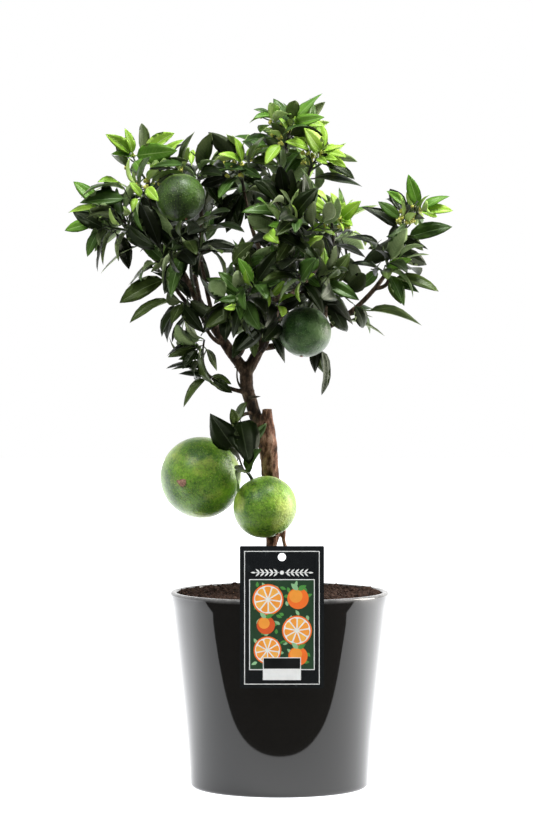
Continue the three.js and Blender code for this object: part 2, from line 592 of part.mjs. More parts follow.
// A place on the middle line of a twig's tube, which is straight from ring to ring.
function placeOnTwig({ curve, steps }, share) {
  const ring = Math.min(Math.floor(share * steps), steps - 1);
  return curve.getPoint(ring / steps).lerp(curve.getPoint((ring + 1) / steps), share * steps - ring);
}

const rootShare = (share) => THREE.MathUtils.clamp(share, BARE_END, 1 - BARE_END);

function leafAt(shoot, mass, share, turn, draws) {
  const root = placeOnTwig(shoot, rootShare(share));
  const along = shoot.curve.getTangent(share);
  const out = root.clone().sub(CROWN_CENTRE).normalize();
  const splay = mix(1.3, 0.5, share) + mix(-0.15, 0.15, draws[0]);
  const heading = along.clone().multiplyScalar(Math.cos(splay));
  heading.addScaledVector(perpendicular(along, turn), Math.sin(splay)).addScaledVector(out, 0.25);
  heading.add(vector(mass.sweep ?? [0, 0, 0])).addScaledVector(UP, mix(-0.4, 0.05, share)).normalize();
  const face = UP.clone().multiplyScalar(0.6).addScaledVector(out, 0.5);
  face.addScaledVector(perpendicular(heading, 2 * Math.PI * draws[1]), 0.45);
  face.addScaledVector(heading, -face.dot(heading)).normalize();
  const size = (mass.size ?? 1) * mix(0.8, 1.12, draws[2]) * mix(1, 0.85, share ** 4);
  return {
    root,
    heading,
    face,
    length: LEAF.length * size,
    halfWidth: LEAF.halfWidth * size,
    curl: mix(0.3, 0.9, draws[3]),
  };
}

// The place on a twig nearest to a leading leaf's foot. How far back it is counts for less.
function nearestPlace(shoots, { tip, foot }) {
  const shares = Array.from({ length: PLACES_TRIED + 1 }, (_, k) => k / PLACES_TRIED);
  const places = shoots.flatMap((shoot) => shares.map((share) => ({ shoot, share })));
  const off = ({ shoot, share }) => {
    const place = placeOnTwig(shoot, share);
    return (place.x - foot[0]) ** 2 + DEPTH_COUNTS * (place.y - tip[1]) ** 2 + (place.z - foot[1]) ** 2;
  };
  return places.reduce((best, place) => (off(place) < off(best) ? place : best));
}

// A leading leaf grows in a shallow arc from its root to its tip.
function leadingLeaf(root, { tip, show }) {
  const chord = vector(tip).sub(root);
  const reach = chord.length();
  chord.normalize();
  const edge = new THREE.Vector3().crossVectors(FRONT, chord).normalize();
  const face = FRONT.clone().multiplyScalar(show);
  face.addScaledVector(edge, Math.sign(edge.z) * Math.sqrt(1 - show * show));
  face.addScaledVector(chord, -face.dot(chord)).normalize();
  const half = LEADING_CURL / 2;
  const length = (reach * half) / Math.sin(half);
  return {
    root,
    heading: chord.clone().multiplyScalar(Math.cos(half)).addScaledVector(face, Math.sin(half)),
    face: face.clone().multiplyScalar(Math.cos(half)).addScaledVector(chord, -Math.sin(half)),
    length,
    halfWidth: Math.min(length * LEADING_WIDTH, LEAF.halfWidth),
    curl: LEADING_CURL,
  };
}

function inCrown({ x, y, z }) {
  const { left, right, front, back, top } = CROWN_REACH;
  return x > left && x < right && y > front && y < back && z < top;
}

// A mass keeps to its own space, a round about its leader inside the crown.
function inOwnSpace(points, mass) {
  const spine = new THREE.Line3(limbs[mass.bough].curve.getPoint(1), vector(mass.tip));
  const room = 0.6 * mass.spread + LEAF_ROOM * LEAF.length;
  const near = (p) => spine.closestPointToPoint(p, true, new THREE.Vector3()).distanceTo(p) < room;
  return points.every((p) => inCrown(p) && near(p));
}

function inClearing(points) {
  return CLEARINGS.some(({ x, z, radius, behind }) =>
    points.some((p) => p.y < behind && Math.hypot(p.x - x, p.z - z) < radius),
  );
}

function inFruit(points) {
  return FRUIT.some(({ at, radius }) => points.some((p) => p.distanceTo(vector(at)) < radius + 2));
}

function growLeaves(shoot, mass, obstacles) {
  const count = Math.round((shoot.reach * (1 - shoot.bare)) / LEAF_EVERY) + 2;
  const leaves = [];
  for (let k = 0; k < count; k++) {
    const share = mix(shoot.bare, 1, 1 - (1 - Math.min(1, (k + 0.5) / (count - 1))) ** 1.3);
    const draws = Array.from({ length: LEAF_DRAWS }, shoot.random);
    for (const extraTurn of TURNS_TRIED) {
      const leaf = leafAt(shoot, mass, share, k * GOLDEN + extraTurn, draws);
      const mesh = guard(leafMesh(leaf, LEAF.thick + KEEP_OFF));
      if (inClearing(mesh.points) || inFruit(mesh.points) || !inOwnSpace(mesh.points, mass)) continue;
      if (obstacles.some((o) => o.owner !== shoot && cross(mesh, o))) continue;
      obstacles.push(mesh);
      leaves.push(leaf);
      break;
    }
  }
  return leaves;
}

function fruitStalk(fruit, leader) {
  const centre = vector(fruit.at);
  const out = vector(fruit.stalk).normalize();
  const foot = centre.clone().addScaledVector(out, fruit.radius * 0.9);
  const away = centre.clone().addScaledVector(out, fruit.radius + 9);
  const curve = new THREE.QuadraticBezierCurve3(leader.curve.getPoint(fruit.from), away, foot);
  return { curve, radii: [1.5, 1.7], steps: 3 };
}

function fruitSolid({ at, radius, stalk }) {
  const ball = new THREE.SphereGeometry(radius, 12, 8).scale(1, 0.95, 1);
  const turn = new THREE.Quaternion();
  turn.setFromUnitVectors(new THREE.Vector3(0, 1, 0), vector(stalk).normalize());
  return toSolid(ball.applyQuaternion(turn).translate(...at));
}

function limbGuard(name, sides, steps) {
  const { curve, radiusAt } = limbs[name];
  return tubeMesh(curve, (t) => radiusAt(t) + KEEP_OFF, sides, steps);
}

// All the twigs grow before the first leaf, and a side shoot that would touch a limb,
// a fruit or another mass's twig is left out.
function growTwigs(mass, obstacles) {
  const [leader, ...side] = growShoots(mass);
  const fruit = FRUIT.filter((f) => f.mass === mass.name);
  const stalks = fruit.map((f) => fruitStalk(f, leader));
  for (const twig of [leader, ...stalks]) obstacles.push(twigGuard(twig, mass));
  const shoots = [leader];
  for (const shoot of side) {
    const tube = twigGuard(shoot, mass);
    if (inClearing(tube.points) || inFruit(tube.points)) continue;
    if (obstacles.some((o) => o.mass !== mass && cross(tube, o))) continue;
    obstacles.push(tube);
    shoots.push(shoot);
  }
  return { mass, shoots, stalks, fruit };
}

// A leading leaf that would touch a limb or another mass is left out.
function growLeadingLeaves({ mass, shoots }, obstacles) {
  const leaves = [];
  for (const row of LEADING_LEAVES.filter((r) => r.mass === mass.name)) {
    const { shoot, share } = nearestPlace(shoots, row);
    const leaf = leadingLeaf(placeOnTwig(shoot, rootShare(share)), row);
    const mesh = { ...guard(leafMesh(leaf, LEAF.thick + KEEP_OFF)), mass };
    if (obstacles.some((o) => o.mass !== mass && cross(mesh, o))) continue;
    obstacles.push(mesh);
    leaves.push(leaf);
  }
  return leaves;
}

// The leading leaves come first, so that the others grow round them.
function growCrown() {
  const obstacles = [limbGuard("trunk", 8, 10), ...BOUGHS.map(({ name }) => limbGuard(name, 6, 5))];
  const crown = MASSES.map((mass) => growTwigs(mass, obstacles));
  for (const grown of crown) grown.leaves = growLeadingLeaves(grown, obstacles);
  for (const grown of crown) {
    for (const shoot of grown.shoots) grown.leaves.push(...growLeaves(shoot, grown.mass, obstacles));
  }
  return crown;
}

const SHORTEST_EDGE = 0.02; // what fusing leaves below this is merged away

function massSolid({ shoots, stalks, fruit, leaves }) {
  const twigs = [...shoots, ...stalks].map(({ curve, radii, steps }) =>
    toSolid(tubeGeometry(curve, taper(...radii), TWIG.sides, steps)),
  );
  const blades = leaves.map((leaf) => toSolid(meshGeometry(leafMesh(leaf, LEAF.thick))));
  const fused = wasm.Manifold.union([...twigs, ...blades, ...fruit.map(fruitSolid)]);
  return mainBody(fused.simplify(SHORTEST_EDGE));
}

// Pot, soil and card

function potOuterRadius(z) {
  return mix(POT.baseRadius, POT.topRadius, (z / POT.height) ** POT.flare);
}

function arc(cx, cz, radius, from, to, count) {
  return Array.from({ length: count + 1 }, (_, i) => {
    const angle = mix(from, to, i / count);
    return new THREE.Vector2(cx + radius * Math.cos(angle), cz + radius * Math.sin(angle));
  });
}

function lathe(profile, sides) {
  return new THREE.LatheGeometry(profile, sides).rotateX(Math.PI / 2);
}

function potGeometry() {
  const { height, wall, floor, footRound, lipRound, sides } = POT;
  const foot = arc(potOuterRadius(footRound) - footRound, footRound, footRound, -Math.PI / 2, 0, 2);
  const side = [0.25, 0.5, 0.75].map((s) => new THREE.Vector2(potOuterRadius(height * s), height * s));
  const lipZ = height - lipRound;
  const lipOuter = arc(potOuterRadius(height) - lipRound, lipZ, lipRound, 0, Math.PI / 2, 2);
  const lipInner = arc(potOuterRadius(height) - wall + lipRound, lipZ, lipRound, Math.PI / 2, Math.PI, 2);
  const innerFloor = new THREE.Vector2(potOuterRadius(floor) - wall, floor);
  const axis = (z) => new THREE.Vector2(0, z);
  return lathe([axis(0), ...foot, ...side, ...lipOuter, ...lipInner, innerFloor, axis(floor)], sides);
}

// The soil's side runs straight between the same heights as the pot's inner wall, so the
// gap to it is even.
function soilGeometry() {
  const { height, wall, floor, lipRound, sides } = POT;
  const bottom = { r: potOuterRadius(floor) - wall, z: floor };
  const top = { r: potOuterRadius(height) - wall, z: height - lipRound };
  const edgeZ = SOIL.level - SOIL.edgeDrop;
  const inner = (z) => mix(bottom.r, top.r, (z - bottom.z) / (top.z - bottom.z)) - 2 * GAP;
  return lathe(
    [
      new THREE.Vector2(0, floor + GAP),
      new THREE.Vector2(inner(floor + GAP), floor + GAP),
      new THREE.Vector2(inner(edgeZ), edgeZ),
      new THREE.Vector2(SOIL.moundRadius, SOIL.level),
      new THREE.Vector2(0, SOIL.level),
    ],
    sides,
  );
}

// The card hangs on the rim by a tongue folded back from it.
function cardSolid() {
  const half = CARD.width / 2;
  const outline = new THREE.Shape();
  outline.moveTo(-half, 0).lineTo(half, 0).lineTo(half, CARD.height).lineTo(-half, CARD.height).closePath();
  const holeAt = CARD.height - CARD.holeDrop;
  outline.holes.push(new THREE.Path().absarc(0, holeAt, CARD.holeRadius, 0, 2 * Math.PI, true));
  const sheet = { depth: CARD.thick, bevelEnabled: false, curveSegments: 10 };
  const plate = new THREE.ExtrudeGeometry(outline, sheet);
  const back = -POT.topRadius - GAP;
  plate.rotateX(Math.PI / 2).translate(CARD.middle, back, CARD.foot);
  const overRim = POT.height + GAP;
  const inside = -(POT.topRadius - POT.wall) + HOOK.clear;
  const bend = new THREE.Shape();
  bend.moveTo(back - CARD.thick / 2, overRim).lineTo(inside, overRim).lineTo(inside, overRim - HOOK.drop);
  bend.lineTo(inside + HOOK.thick, overRim - HOOK.drop).lineTo(inside + HOOK.thick, overRim + HOOK.thick);
  bend.lineTo(back - CARD.thick / 2, overRim + HOOK.thick).closePath();
  const tongue = new THREE.ExtrudeGeometry(bend, { depth: HOOK.width, bevelEnabled: false });
  tongue.rotateX(Math.PI / 2).rotateZ(Math.PI / 2).translate(CARD.middle - HOOK.width / 2, 0, 0);
  return toSolid(plate).add(toSolid(tongue));
}

// Finishes

const finish = (color, roughness) => new THREE.MeshStandardMaterial({ color, roughness });
const glaze = finish(0x0c0c0e, 0.08);
const peat = finish(0x2e211a, 0.95);
const bark = finish(0x6b4a36, 0.85);
const leafGreen = finish(0x2f4d24, 0.45);
const fruitGreen = finish(0x5f8f2b, 0.4);
const cardBlack = finish(0x14181a, 0.25);

const tree = new THREE.Group();

function add(name, geometry, material) {
  const mesh = new THREE.Mesh(geometry, material);
  mesh.name = name;
  tree.add(mesh);
}

add("pot", potGeometry(), glaze);
add("soil", soilGeometry(), peat);
add("trunk", toGeometry(mainBody(trunkSolid().subtract(belowSoil()))), bark);
BOUGHS.forEach((bough, i) => add(bough.name, toGeometry(finishedBough(bough, i)), bark));
for (const grown of growCrown()) {
  const material = grown.mass.name === "fruiting_mass" ? fruitGreen : leafGreen;
  add(grown.mass.name, toGeometry(massSolid(grown)), material);
}
add("card", toGeometry(cardSolid()), cardBlack);

export default tree;
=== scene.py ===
"""A mandarin orange tree in a glazed pot: leaves, twigs, fruit, bark, peat, pot and card, dressed
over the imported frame. Metres, +Z up, seen from the front along +Y."""
import math

import bmesh
import bpy
import numpy as np
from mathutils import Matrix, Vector, noise
from mathutils.bvhtree import BVHTree
from mathutils.kdtree import KDTree


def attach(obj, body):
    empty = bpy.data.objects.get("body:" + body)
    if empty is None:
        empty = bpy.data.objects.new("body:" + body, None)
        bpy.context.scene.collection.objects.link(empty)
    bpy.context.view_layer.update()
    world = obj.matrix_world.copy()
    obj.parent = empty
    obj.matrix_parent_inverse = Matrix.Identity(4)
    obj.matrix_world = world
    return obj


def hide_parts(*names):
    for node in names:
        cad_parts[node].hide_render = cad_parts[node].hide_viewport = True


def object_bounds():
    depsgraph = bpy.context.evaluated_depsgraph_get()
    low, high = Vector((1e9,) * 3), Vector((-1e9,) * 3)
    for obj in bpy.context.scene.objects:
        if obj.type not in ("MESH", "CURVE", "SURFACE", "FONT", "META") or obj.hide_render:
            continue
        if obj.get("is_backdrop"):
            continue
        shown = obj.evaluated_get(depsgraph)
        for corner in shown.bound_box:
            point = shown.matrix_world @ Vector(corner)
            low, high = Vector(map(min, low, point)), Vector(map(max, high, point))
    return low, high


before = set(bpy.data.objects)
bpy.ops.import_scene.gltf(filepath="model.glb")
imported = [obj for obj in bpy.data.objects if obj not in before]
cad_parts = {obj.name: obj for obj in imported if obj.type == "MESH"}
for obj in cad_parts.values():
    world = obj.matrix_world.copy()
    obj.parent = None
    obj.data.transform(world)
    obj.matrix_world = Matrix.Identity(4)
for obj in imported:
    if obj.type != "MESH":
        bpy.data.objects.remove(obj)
cad_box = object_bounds()

MM = 0.001
UP = Vector((0, 0, 1))
GOLDEN = math.pi * (3 - math.sqrt(5))

# Sizes of the tree, in millimetres, as the frame has them
GAP = 0.3  # between a solid and what carries it
CROWN_CENTRE = Vector((-10, 0, 480))
CROWN_REACH = ((-205, -122, 200), (166, 142, 665))
SOIL_LEVEL = 186.3
SOIL_DROP = 1.2  # how much lower the soil is at the wall
LEAF_REACH = 52  # the leaf length that sets how far a mass may spread
LEAF_ROOM = 0.62
TRUNK = [
    ((-9, 0, SOIL_LEVEL + GAP), 9.5),
    ((-8.5, 0, 196), 6),
    ((-8.2, 0, 228), 4.6),
    ((-5.5, 0, 252), 8.6),
    ((-7.5, 0, 285), 8.8),
    ((-10.5, 1, 318), 8.2),
    ((-18, 3, 342), 6.2),
    ((-25, 3, 362), 6.2),
    ((-30.5, 1, 381), 6.5),
    ((-31.8, 0, 394), 6.5),
    ((-31.4, 0, 402), 5.2),
]
STUB = [
    ((-10, 0, 300), 8),
    ((-10, -1, 325), 8.3),
    ((-11.5, -2, 345), 6.8),
    ((-12, -2, 363.5), 4.7),
]
SIDE_ROOT = [
    ((-3, 0, 262), 5),
    ((3, 0, 248), 3),
    ((4.2, 0, 236), 1.9),
    ((8, -0.5, 222), 2),
    ((11, -1, 208), 2.3),
    ((15, -2, SOIL_LEVEL + GAP), 5),
]

# name, parent, share of the way up it, tip, bow, radii
BOUGHS = [
    ("left_bough", "trunk", 0.95, (-120, -4, 546), (2, 0, -12), (6, 2.5)),
    ("right_bough", "trunk", 0.95, (4, 4, 592), (14, 0, -12), (6, 2.3)),
    ("far_left_bough", "left_bough", 0.68, (-132, -6, 520), (0, 0, -4), (2.7, 2)),
    ("left_low_bough", "left_bough", 0.42, (-104, -12, 487), (-2, 0, -4), (2.6, 1.9)),
    ("inner_left_bough", "left_bough", 0.52, (-82, -28, 500), (0, -3, 0), (2.5, 1.9)),
    ("upper_inner_bough", "left_bough", 0.62, (-78, 10, 574), (6, 2, 0), (2.6, 1.9)),
    ("back_left_bough", "left_bough", 0.34, (-76, 45, 505), (0, 7, -5), (2.7, 1.9)),
    ("left_under_bough", "left_bough", 0.24, (-72, -14, 446), (-2, -2, -4), (2.4, 1.8)),
    ("front_left_bough", "left_bough", 0.13, (-32, -40, 440), (3, -7, -3), (2.6, 1.9)),
    ("low_mid_bough", "right_bough", 0.1, (-10, -32, 434), (2, -5, -2), (2.4, 1.8)),
    ("upper_mid_bough", "right_bough", 0.5, (-34, 4, 572), (-5, 0, -4), (2.6, 1.9)),
    ("centre_bough", "right_bough", 0.44, (12, -36, 512), (0, -6, -4), (2.6, 1.9)),
    ("centre_low_bough", "right_bough", 0.27, (14, -44, 470), (0, -6, -3), (2.6, 1.9)),
    ("young_bough", "right_bough", 0.36, (48, -16, 514), (5, -2, -6), (2.6, 1.9)),
    ("upper_right_bough", "right_bough", 0.68, (26, 0, 580), (3, 0, -4), (2.3, 1.8)),
    ("far_right_bough", "right_bough", 0.15, (116, 2, 518), (14, 3, -18), (3.4, 2)),
    ("right_low_bough", "far_right_bough", 0.36, (46, -30, 466), (0, -4, 3), (2.4, 1.8)),
    ("hanging_bough", "far_right_bough", 0.24, (34, -12, 434), (2, -3, 3), (2.2, 1.7)),
    ("right_tail_bough", "far_right_bough", 0.42, (62, 12, 449), (0, 2, -2), (2.2, 1.8)),
    ("right_side_bough", "far_right_bough", 0.74, (104, -10, 488), (3, -2, -2), (2.3, 1.8)),
    ("back_right_bough", "right_bough", 0.4, (46, 46, 512), (3, 6, -4), (2.7, 1.9)),
    ("back_top_bough", "right_bough", 0.58, (-4, 46, 568), (0, 7, -4), (2.6, 1.9)),
    ("back_low_bough", "right_bough", 0.22, (2, 50, 466), (0, 6, -3), (2.7, 1.9)),
    ("low_left_bough", "trunk", 0.79, (-65, -4, 393), (0, 0, -3), (2.4, 1.7)),
    ("fruiting_bough", "trunk", 0.68, (-38, -17, 356), (-1, -2, 2), (2.2, 1.7)),
]

# Each mass of twigs and leaves: its name, its leader's tip, its shoots' spread and number, the
# share of fresh leaves at their ends, its seed, and what is its own: sweep leans its leaves one
# way, size and broad scale them, bare is the share of its leader that has none, and bough is
# named where it isn't the mass's namesake.
MASS_ROWS = [
    ("upper_left", (-123, -10, 594), 27, 4, 0.3, 8, dict(bough="left_bough")),
    ("far_left", (-150, -12, 545), 34, 5, 0.15, 17, dict(sweep=(-0.2, 0, -0.1))),
    ("left_low", (-117, -18, 504), 12, 2, 0, 28, dict(sweep=(-0.9, 0, -0.6))),
    ("left_under", (-99, -20, 468), 14, 2, 0, 80, dict(sweep=(-0.3, 0, -0.8))),
    ("inner_left", (-66, -52, 516), 26, 3, 0, 34, dict(sweep=(0.1, -0.1, -0.5))),
    ("upper_inner", (-66, -4, 595), 20, 3, 0.1, 39, dict(sweep=(0.2, 0, 0.1))),
    ("front_left", (-27, -74, 484), 30, 4, 0.2, 14, dict()),
    ("back_left", (-92, 84, 552), 38, 5, 0.1, 26, dict()),
    ("low_mid", (-16, -58, 450), 20, 2, 0, 65, dict(sweep=(0, -0.2, -0.5))),
    ("upper_mid", (-40, -4, 598), 22, 3, 0.3, 14, dict()),
    ("top", (12, 0, 636), 22, 4, 0.42, 74, dict(bough="right_bough")),
    ("centre", (10, -68, 548), 32, 4, 0.1, 32, dict()),
    ("centre_low", (18, -80, 492), 28, 3, 0.1, 17, dict()),
    ("young", (46, -36, 552), 14, 3, 0.8, 16, dict()),
    ("upper_right", (36, -8, 604), 18, 3, 0.55, 17, dict()),
    ("far_right", (121, 0, 556), 16, 3, 0.3, 14, dict()),
    ("right_side", (104, -20, 502), 18, 3, 0, 4, dict(sweep=(0.2, 0, 0))),
    ("right_tail", (80, 12, 458), 8, 1, 0, 13, dict(sweep=(1, 0, 0.35))),
    ("right_low", (46, -56, 474), 24, 3, 0, 74, dict(sweep=(0.2, -0.2, -0.3))),
    ("hanging", (41, -18, 426), 6, 0, 0, 20, dict(sweep=(0, 0.1, -2))),
    ("back_right", (56, 84, 542), 38, 5, 0.1, 74, dict()),
    ("back_top", (-10, 74, 590), 34, 5, 0.2, 20, dict()),
    ("back_low", (-6, 94, 492), 38, 5, 0, 53, dict()),
    ("low_left", (-72, -8, 430), 16, 2, 0, 50, dict(sweep=(-0.9, -0.1, -0.4), size=0.85, bare=0)),
    ("fruiting", (-33, -40, 304), 14, 1, 0, 29, dict(sweep=(-0.5, -0.3, 0.3), bare=0, broad=1.4)),
]


def mass_table():
    masses = {}
    for name, tip, spread, shoots, young, seed, own in MASS_ROWS:
        usual = dict(bough=f"{name}_bough", tip=tip, spread=spread, shoots=shoots, young=young, seed=seed)
        masses[f"{name}_mass"] = usual | own
    return masses


MASSES = mass_table()

# mass, centre, radius, direction to the stalk, where on the leader the stalk starts, skin
FRUIT = [
    ("upper_left_mass", (-94, -38, 565), 23.5, (-0.25, 0.35, 0.9), 0.55, "dark"),
    ("right_low_mass", (24, -50, 438), 24.7, (0.15, 0.2, 0.97), 0.3, "blue"),
    ("fruiting_mass", (-75.2, -17, 298.5), 39, (0.55, 0.75, 0.35), 0.6, "pale"),
    ("fruiting_mass", (-14, -44, 272), 30.3, (-0.42, 0.2, 0.88), 0.98, "lime"),
]

# Leaves that show by themselves: where each ends, the x and z of its foot, how much of its
# face it turns to the front, and its green
# A leaf given dusk has painted shade for its green
LEADING_LEAVES = {
    "upper_left_mass": [
        ((-166, -14, 626), (-135, 613), 0.8, "young"), ((-148, -6, 632), (-136, 616), 0.8, "young"),
        ((-97, -26, 610), (-132, 611), 1, "fresh"), ((-100, -14, 627), (-126, 618), 0.7, "young"),
        ((-91, -8, 621), (-114, 611), 0.8, "young"), ((-161, -10, 607), (-139, 606), 0.7, "fresh"),
        ((-130, -32, 588), (-134, 606), 1, "fresh"), ((-91, -28, 596), (-123, 602), 0.5, "mature"),
        ((-81, 0, 629), (-88, 604), 0.6, "olive"),
    ],
    "far_left_mass": [
        ((-197, -10, 581), (-179, 563), 0.9, "fresh"), ((-190, -34, 560), (-142, 566), 0.9, "mature"),
        ((-202, -12, 551), (-181, 550), 0.7, "young"), ((-205, -18, 534), (-176, 545), 0.9, "fresh"),
        ((-183, -26, 509), (-171, 535), 0.9, "mature"), ((-171, -10, 493), (-136, 518), 0.4, "olive"),
        ((-144, -6, 497), (-160, 527), 0.6, "dusk"), ((-172, 6, 583), (-148, 577), 0.6, "deep"),
    ],
    "left_low_mass": [
        ((-145, -20, 481), (-116, 504), 0.6, "olive"), ((-153, -14, 465), (-109, 486), 0.75, "olive"),
        ((-103, -30, 476), (-91, 495), 1, "deep"), ((-84, -22, 468), (-103, 491), 0.8, "dusk"),
    ],
    "left_under_mass": [
        ((-143, -24, 446), (-105, 470), 0.45, "olive"), ((-107, -20, 427), (-105, 468), 0.8, "dusk"),
        ((-72, -28, 437), (-95, 468), 1, "deep"),
    ],
    "inner_left_mass": [
        ((-111, -42, 507), (-113, 539), 1, "deep"), ((-36, -50, 515), (-85, 511), 0.5, "dusk"),
        ((-89, -46, 511), (-94, 539), 0.7, "deep"),
    ],
    "upper_inner_mass": [
        ((-72, 0, 618), (-51, 624), 0.5, "olive"), ((-76, -20, 577), (-38, 592), 1, "dusk"),
    ],
    "upper_mid_mass": [
        ((-63, 0, 538), (-35, 569), 0.8, "dusk"), ((-38, -8, 536), (-31, 569), 0.8, "deep"),
        ((-51, -4, 532), (-31, 566), 1, "deep"), ((-43, -14, 623), (-38, 602), 0.6, "young"),
        ((-36, -16, 619), (-17, 609), 0.9, "mature"), ((-2, -16, 597), (-28, 604), 0.9, "olive"),
    ],
    "top_mass": [
        ((41, -6, 665), (15, 643), 0.8, "fresh"), ((43, -16, 642), (17, 648), 1, "fresh"),
        ((44, -4, 634), (20, 638), 0.7, "young"), ((-25, -12, 641), (-3, 652), 0.9, "fresh"),
        ((-25, 0, 650), (-7, 657), 0.8, "mature"), ((3, 4, 657), (12, 641), 0.6, "mature"),
    ],
    "upper_right_mass": [
        ((79, -10, 576), (29, 583), 0.4, "deep"), ((72, -4, 583), (41, 597), 0.6, "deep"),
        ((64, -16, 604), (37, 612), 0.6, "young"), ((62, -6, 615), (39, 611), 0.6, "young"),
        ((5, -30, 618), (32, 610), 0.8, "young"), ((23, -38, 631), (36, 611), 1, "young"),
    ],
    "young_mass": [
        ((82, -30, 508), (54, 520), 0.5, "dusk"), ((25, -44, 567), (53, 557), 0.9, "young"),
        ((77, -50, 562), (60, 551), 1, "young"), ((69, -44, 538), (58, 550), 0.8, "young"),
        ((48, -40, 570), (57, 553), 0.6, "young"),
    ],
    "far_right_mass": [
        ((123, -4, 588), (133, 559), 1, "fresh"), ((102, -10, 572), (127, 563), 0.8, "fresh"),
        ((94, -8, 562), (117, 544), 1, "mature"), ((163, 0, 567), (135, 556), 0.8, "fresh"),
        ((166, -6, 553), (136, 548), 0.7, "young"), ((166, 6, 538), (119, 525), 0.9, "mature"),
        ((138, 2, 515), (133, 529), 1, "olive"), ((78, 4, 557), (111, 530), 0.9, "dusk"),
    ],
    "right_side_mass": [
        ((63, -18, 528), (99, 524), 0.7, "dusk"), ((143, -18, 511), (113, 505), 0.3, "mature"),
        ((126, -26, 507), (98, 495), 0.9, "fresh"), ((152, -16, 476), (107, 488), 0.25, "olive"),
        ((133, -22, 475), (107, 486), 0.8, "mature"), ((116, -18, 464), (105, 476), 1, "olive"),
        ((75, -30, 478), (96, 496), 1, "mature"), ((68, -26, 503), (95, 497), 0.5, "deep"),
    ],
    "right_tail_mass": [
        ((137, 10, 443), (81, 457), 0.5, "olive"), ((101, 2, 433), (56, 438), 0.35, "olive"),
        ((90, 8, 451), (63, 460), 0.35, "olive"),
    ],
    "right_low_mass": [
        ((69, -62, 445), (36, 476), 0.9, "dusk"), ((75, -66, 468), (40, 485), 1, "mature"),
        ((38, -84, 481), (23, 494), 1, "mature"),
    ],
    "hanging_mass": [
        ((40, -18, 377), (40, 420), 0.44, "deep"),
    ],
    "front_left_mass": [
        ((-58, -72, 495), (-33, 468), 0.9, "mature"), ((-70, -66, 489), (-39, 468), 0.7, "mature"),
        ((-39, -86, 508), (-23, 483), 1, "fresh"), ((-13, -80, 503), (-23, 473), 0.8, "mature"),
        ((3, -86, 487), (-26, 466), 0.6, "mature"), ((-58, -88, 468), (-30, 466), 0.9, "mature"),
        ((-70, -70, 442), (-37, 461), 0.8, "olive"),
    ],
    "low_mid_mass": [
        ((-45, -52, 413), (-51, 440), 1, "deep"), ((-24, -50, 414), (-38, 434), 0.8, "olive"),
        ((3, -44, 432), (-21, 447), 0.9, "dusk"), ((5, -40, 408), (-13, 440), 0.7, "deep"),
    ],
    "back_low_mass": [
        ((14, 142, 514), (-6, 492), 0.6, "mature"), ((-32, 139, 476), (-6, 492), 0.6, "deep"),
    ],
    "back_right_mass": [
        ((74, 128, 566), (56, 542), 0.6, "mature"), ((98, 104, 560), (56, 542), 0.6, "fresh"),
    ],
    "back_top_mass": [
        ((-26, 120, 612), (-10, 590), 0.6, "mature"),
    ],
    "back_left_mass": [
        ((-112, 128, 566), (-92, 552), 0.6, "mature"), ((-134, 100, 570), (-92, 552), 0.6, "fresh"),
    ],
    "centre_low_mass": [
        ((34, -121, 508), (18, 492), 0.9, "mature"),
    ],
    "centre_mass": [
        ((36, -92, 504), (-11, 538), 0.8, "deep"), ((-11, -96, 538), (19, 521), 0.8, "fresh"),
    ],
    "low_left_mass": [
        ((-97, -8, 397), (-67, 394), 0.8, "deep"), ((-104, -4, 401), (-67, 404), 0.7, "deep"),
        ((-97, -12, 411), (-71, 414), 0.9, "mature"), ((-107, -6, 413), (-73, 425), 0.8, "olive"),
        ((-92, -8, 365), (-71, 391), 0.7, "olive"), ((-45, -12, 379), (-64, 391), 1, "deep"),
        ((-60, -14, 400), (-65, 425), 0.6, "olive"), ((-46, -6, 387), (-63, 399), 0.6, "olive"),
    ],
    "fruiting_mass": [
        ((-66, -46, 361), (-40, 323), 1, "deep"), ((-29, -58, 313), (-28, 355), 1, "deep"),
        ((-17, -60, 328), (-28, 303), 0.8, "mature"), ((-46, -36, 365), (-55, 354), 0.8, "olive"),
        ((-31, -30, 371), (-38, 356), 0.8, "olive"),
    ],
}

# Where no leaf comes: x, z, radius, and how far back
CLEARINGS = [
    (-94, 565, 18, -38), (24, 438, 20, -50), (-76, 297, 34, 200), (-14, 270, 28, 200),
    (-34, 400, 20, 30), (-2, 402, 22, 200), (-56, 529, 7, 200), (-44, 533, 7, 200),
    (-75, 526, 4, 200), (-44, 519, 5, 200), (-63, 504, 6, 200), (-49, 509, 5, 200),
    (78, 552, 9, 200), (89, 540, 12, 200), (75, 518, 8, 200), (101, 463, 8, 200),
    (60, 569, 7, 200), (68, 594, 4, 200), (93, 580, 12, 200), (51, 630, 6, 200),
    (-34, 632, 6, 200), (-68, 613, 5, 200), (-157, 592, 8, 200), (-133, 506, 7, 200),
    (-116, 491, 4, 200), (-115, 476, 5, 200), (-122, 453, 7, 200),
]


def mix(a, b, t):
    return a + (b - a) * t


def clamp(value):
    return min(1.0, max(0.0, value))


def taper(radii):
    """A radius that changes evenly along a limb or twig."""
    return lambda t: mix(radii[0], radii[1], t)


def seeded(seed):
    """The same even random numbers as the frame's solids grew by."""
    state = seed * 7919

    def draw():
        nonlocal state
        state = (state * 48271) % 2147483647
        return state / 2147483647

    return draw


def perpendicular(direction, turn=0.0):
    aside = UP if abs(direction.z) < 0.9 else Vector((1, 0, 0))
    first = direction.cross(aside).normalized()
    return first * math.cos(turn) + direction.cross(first) * math.sin(turn)


# Curves


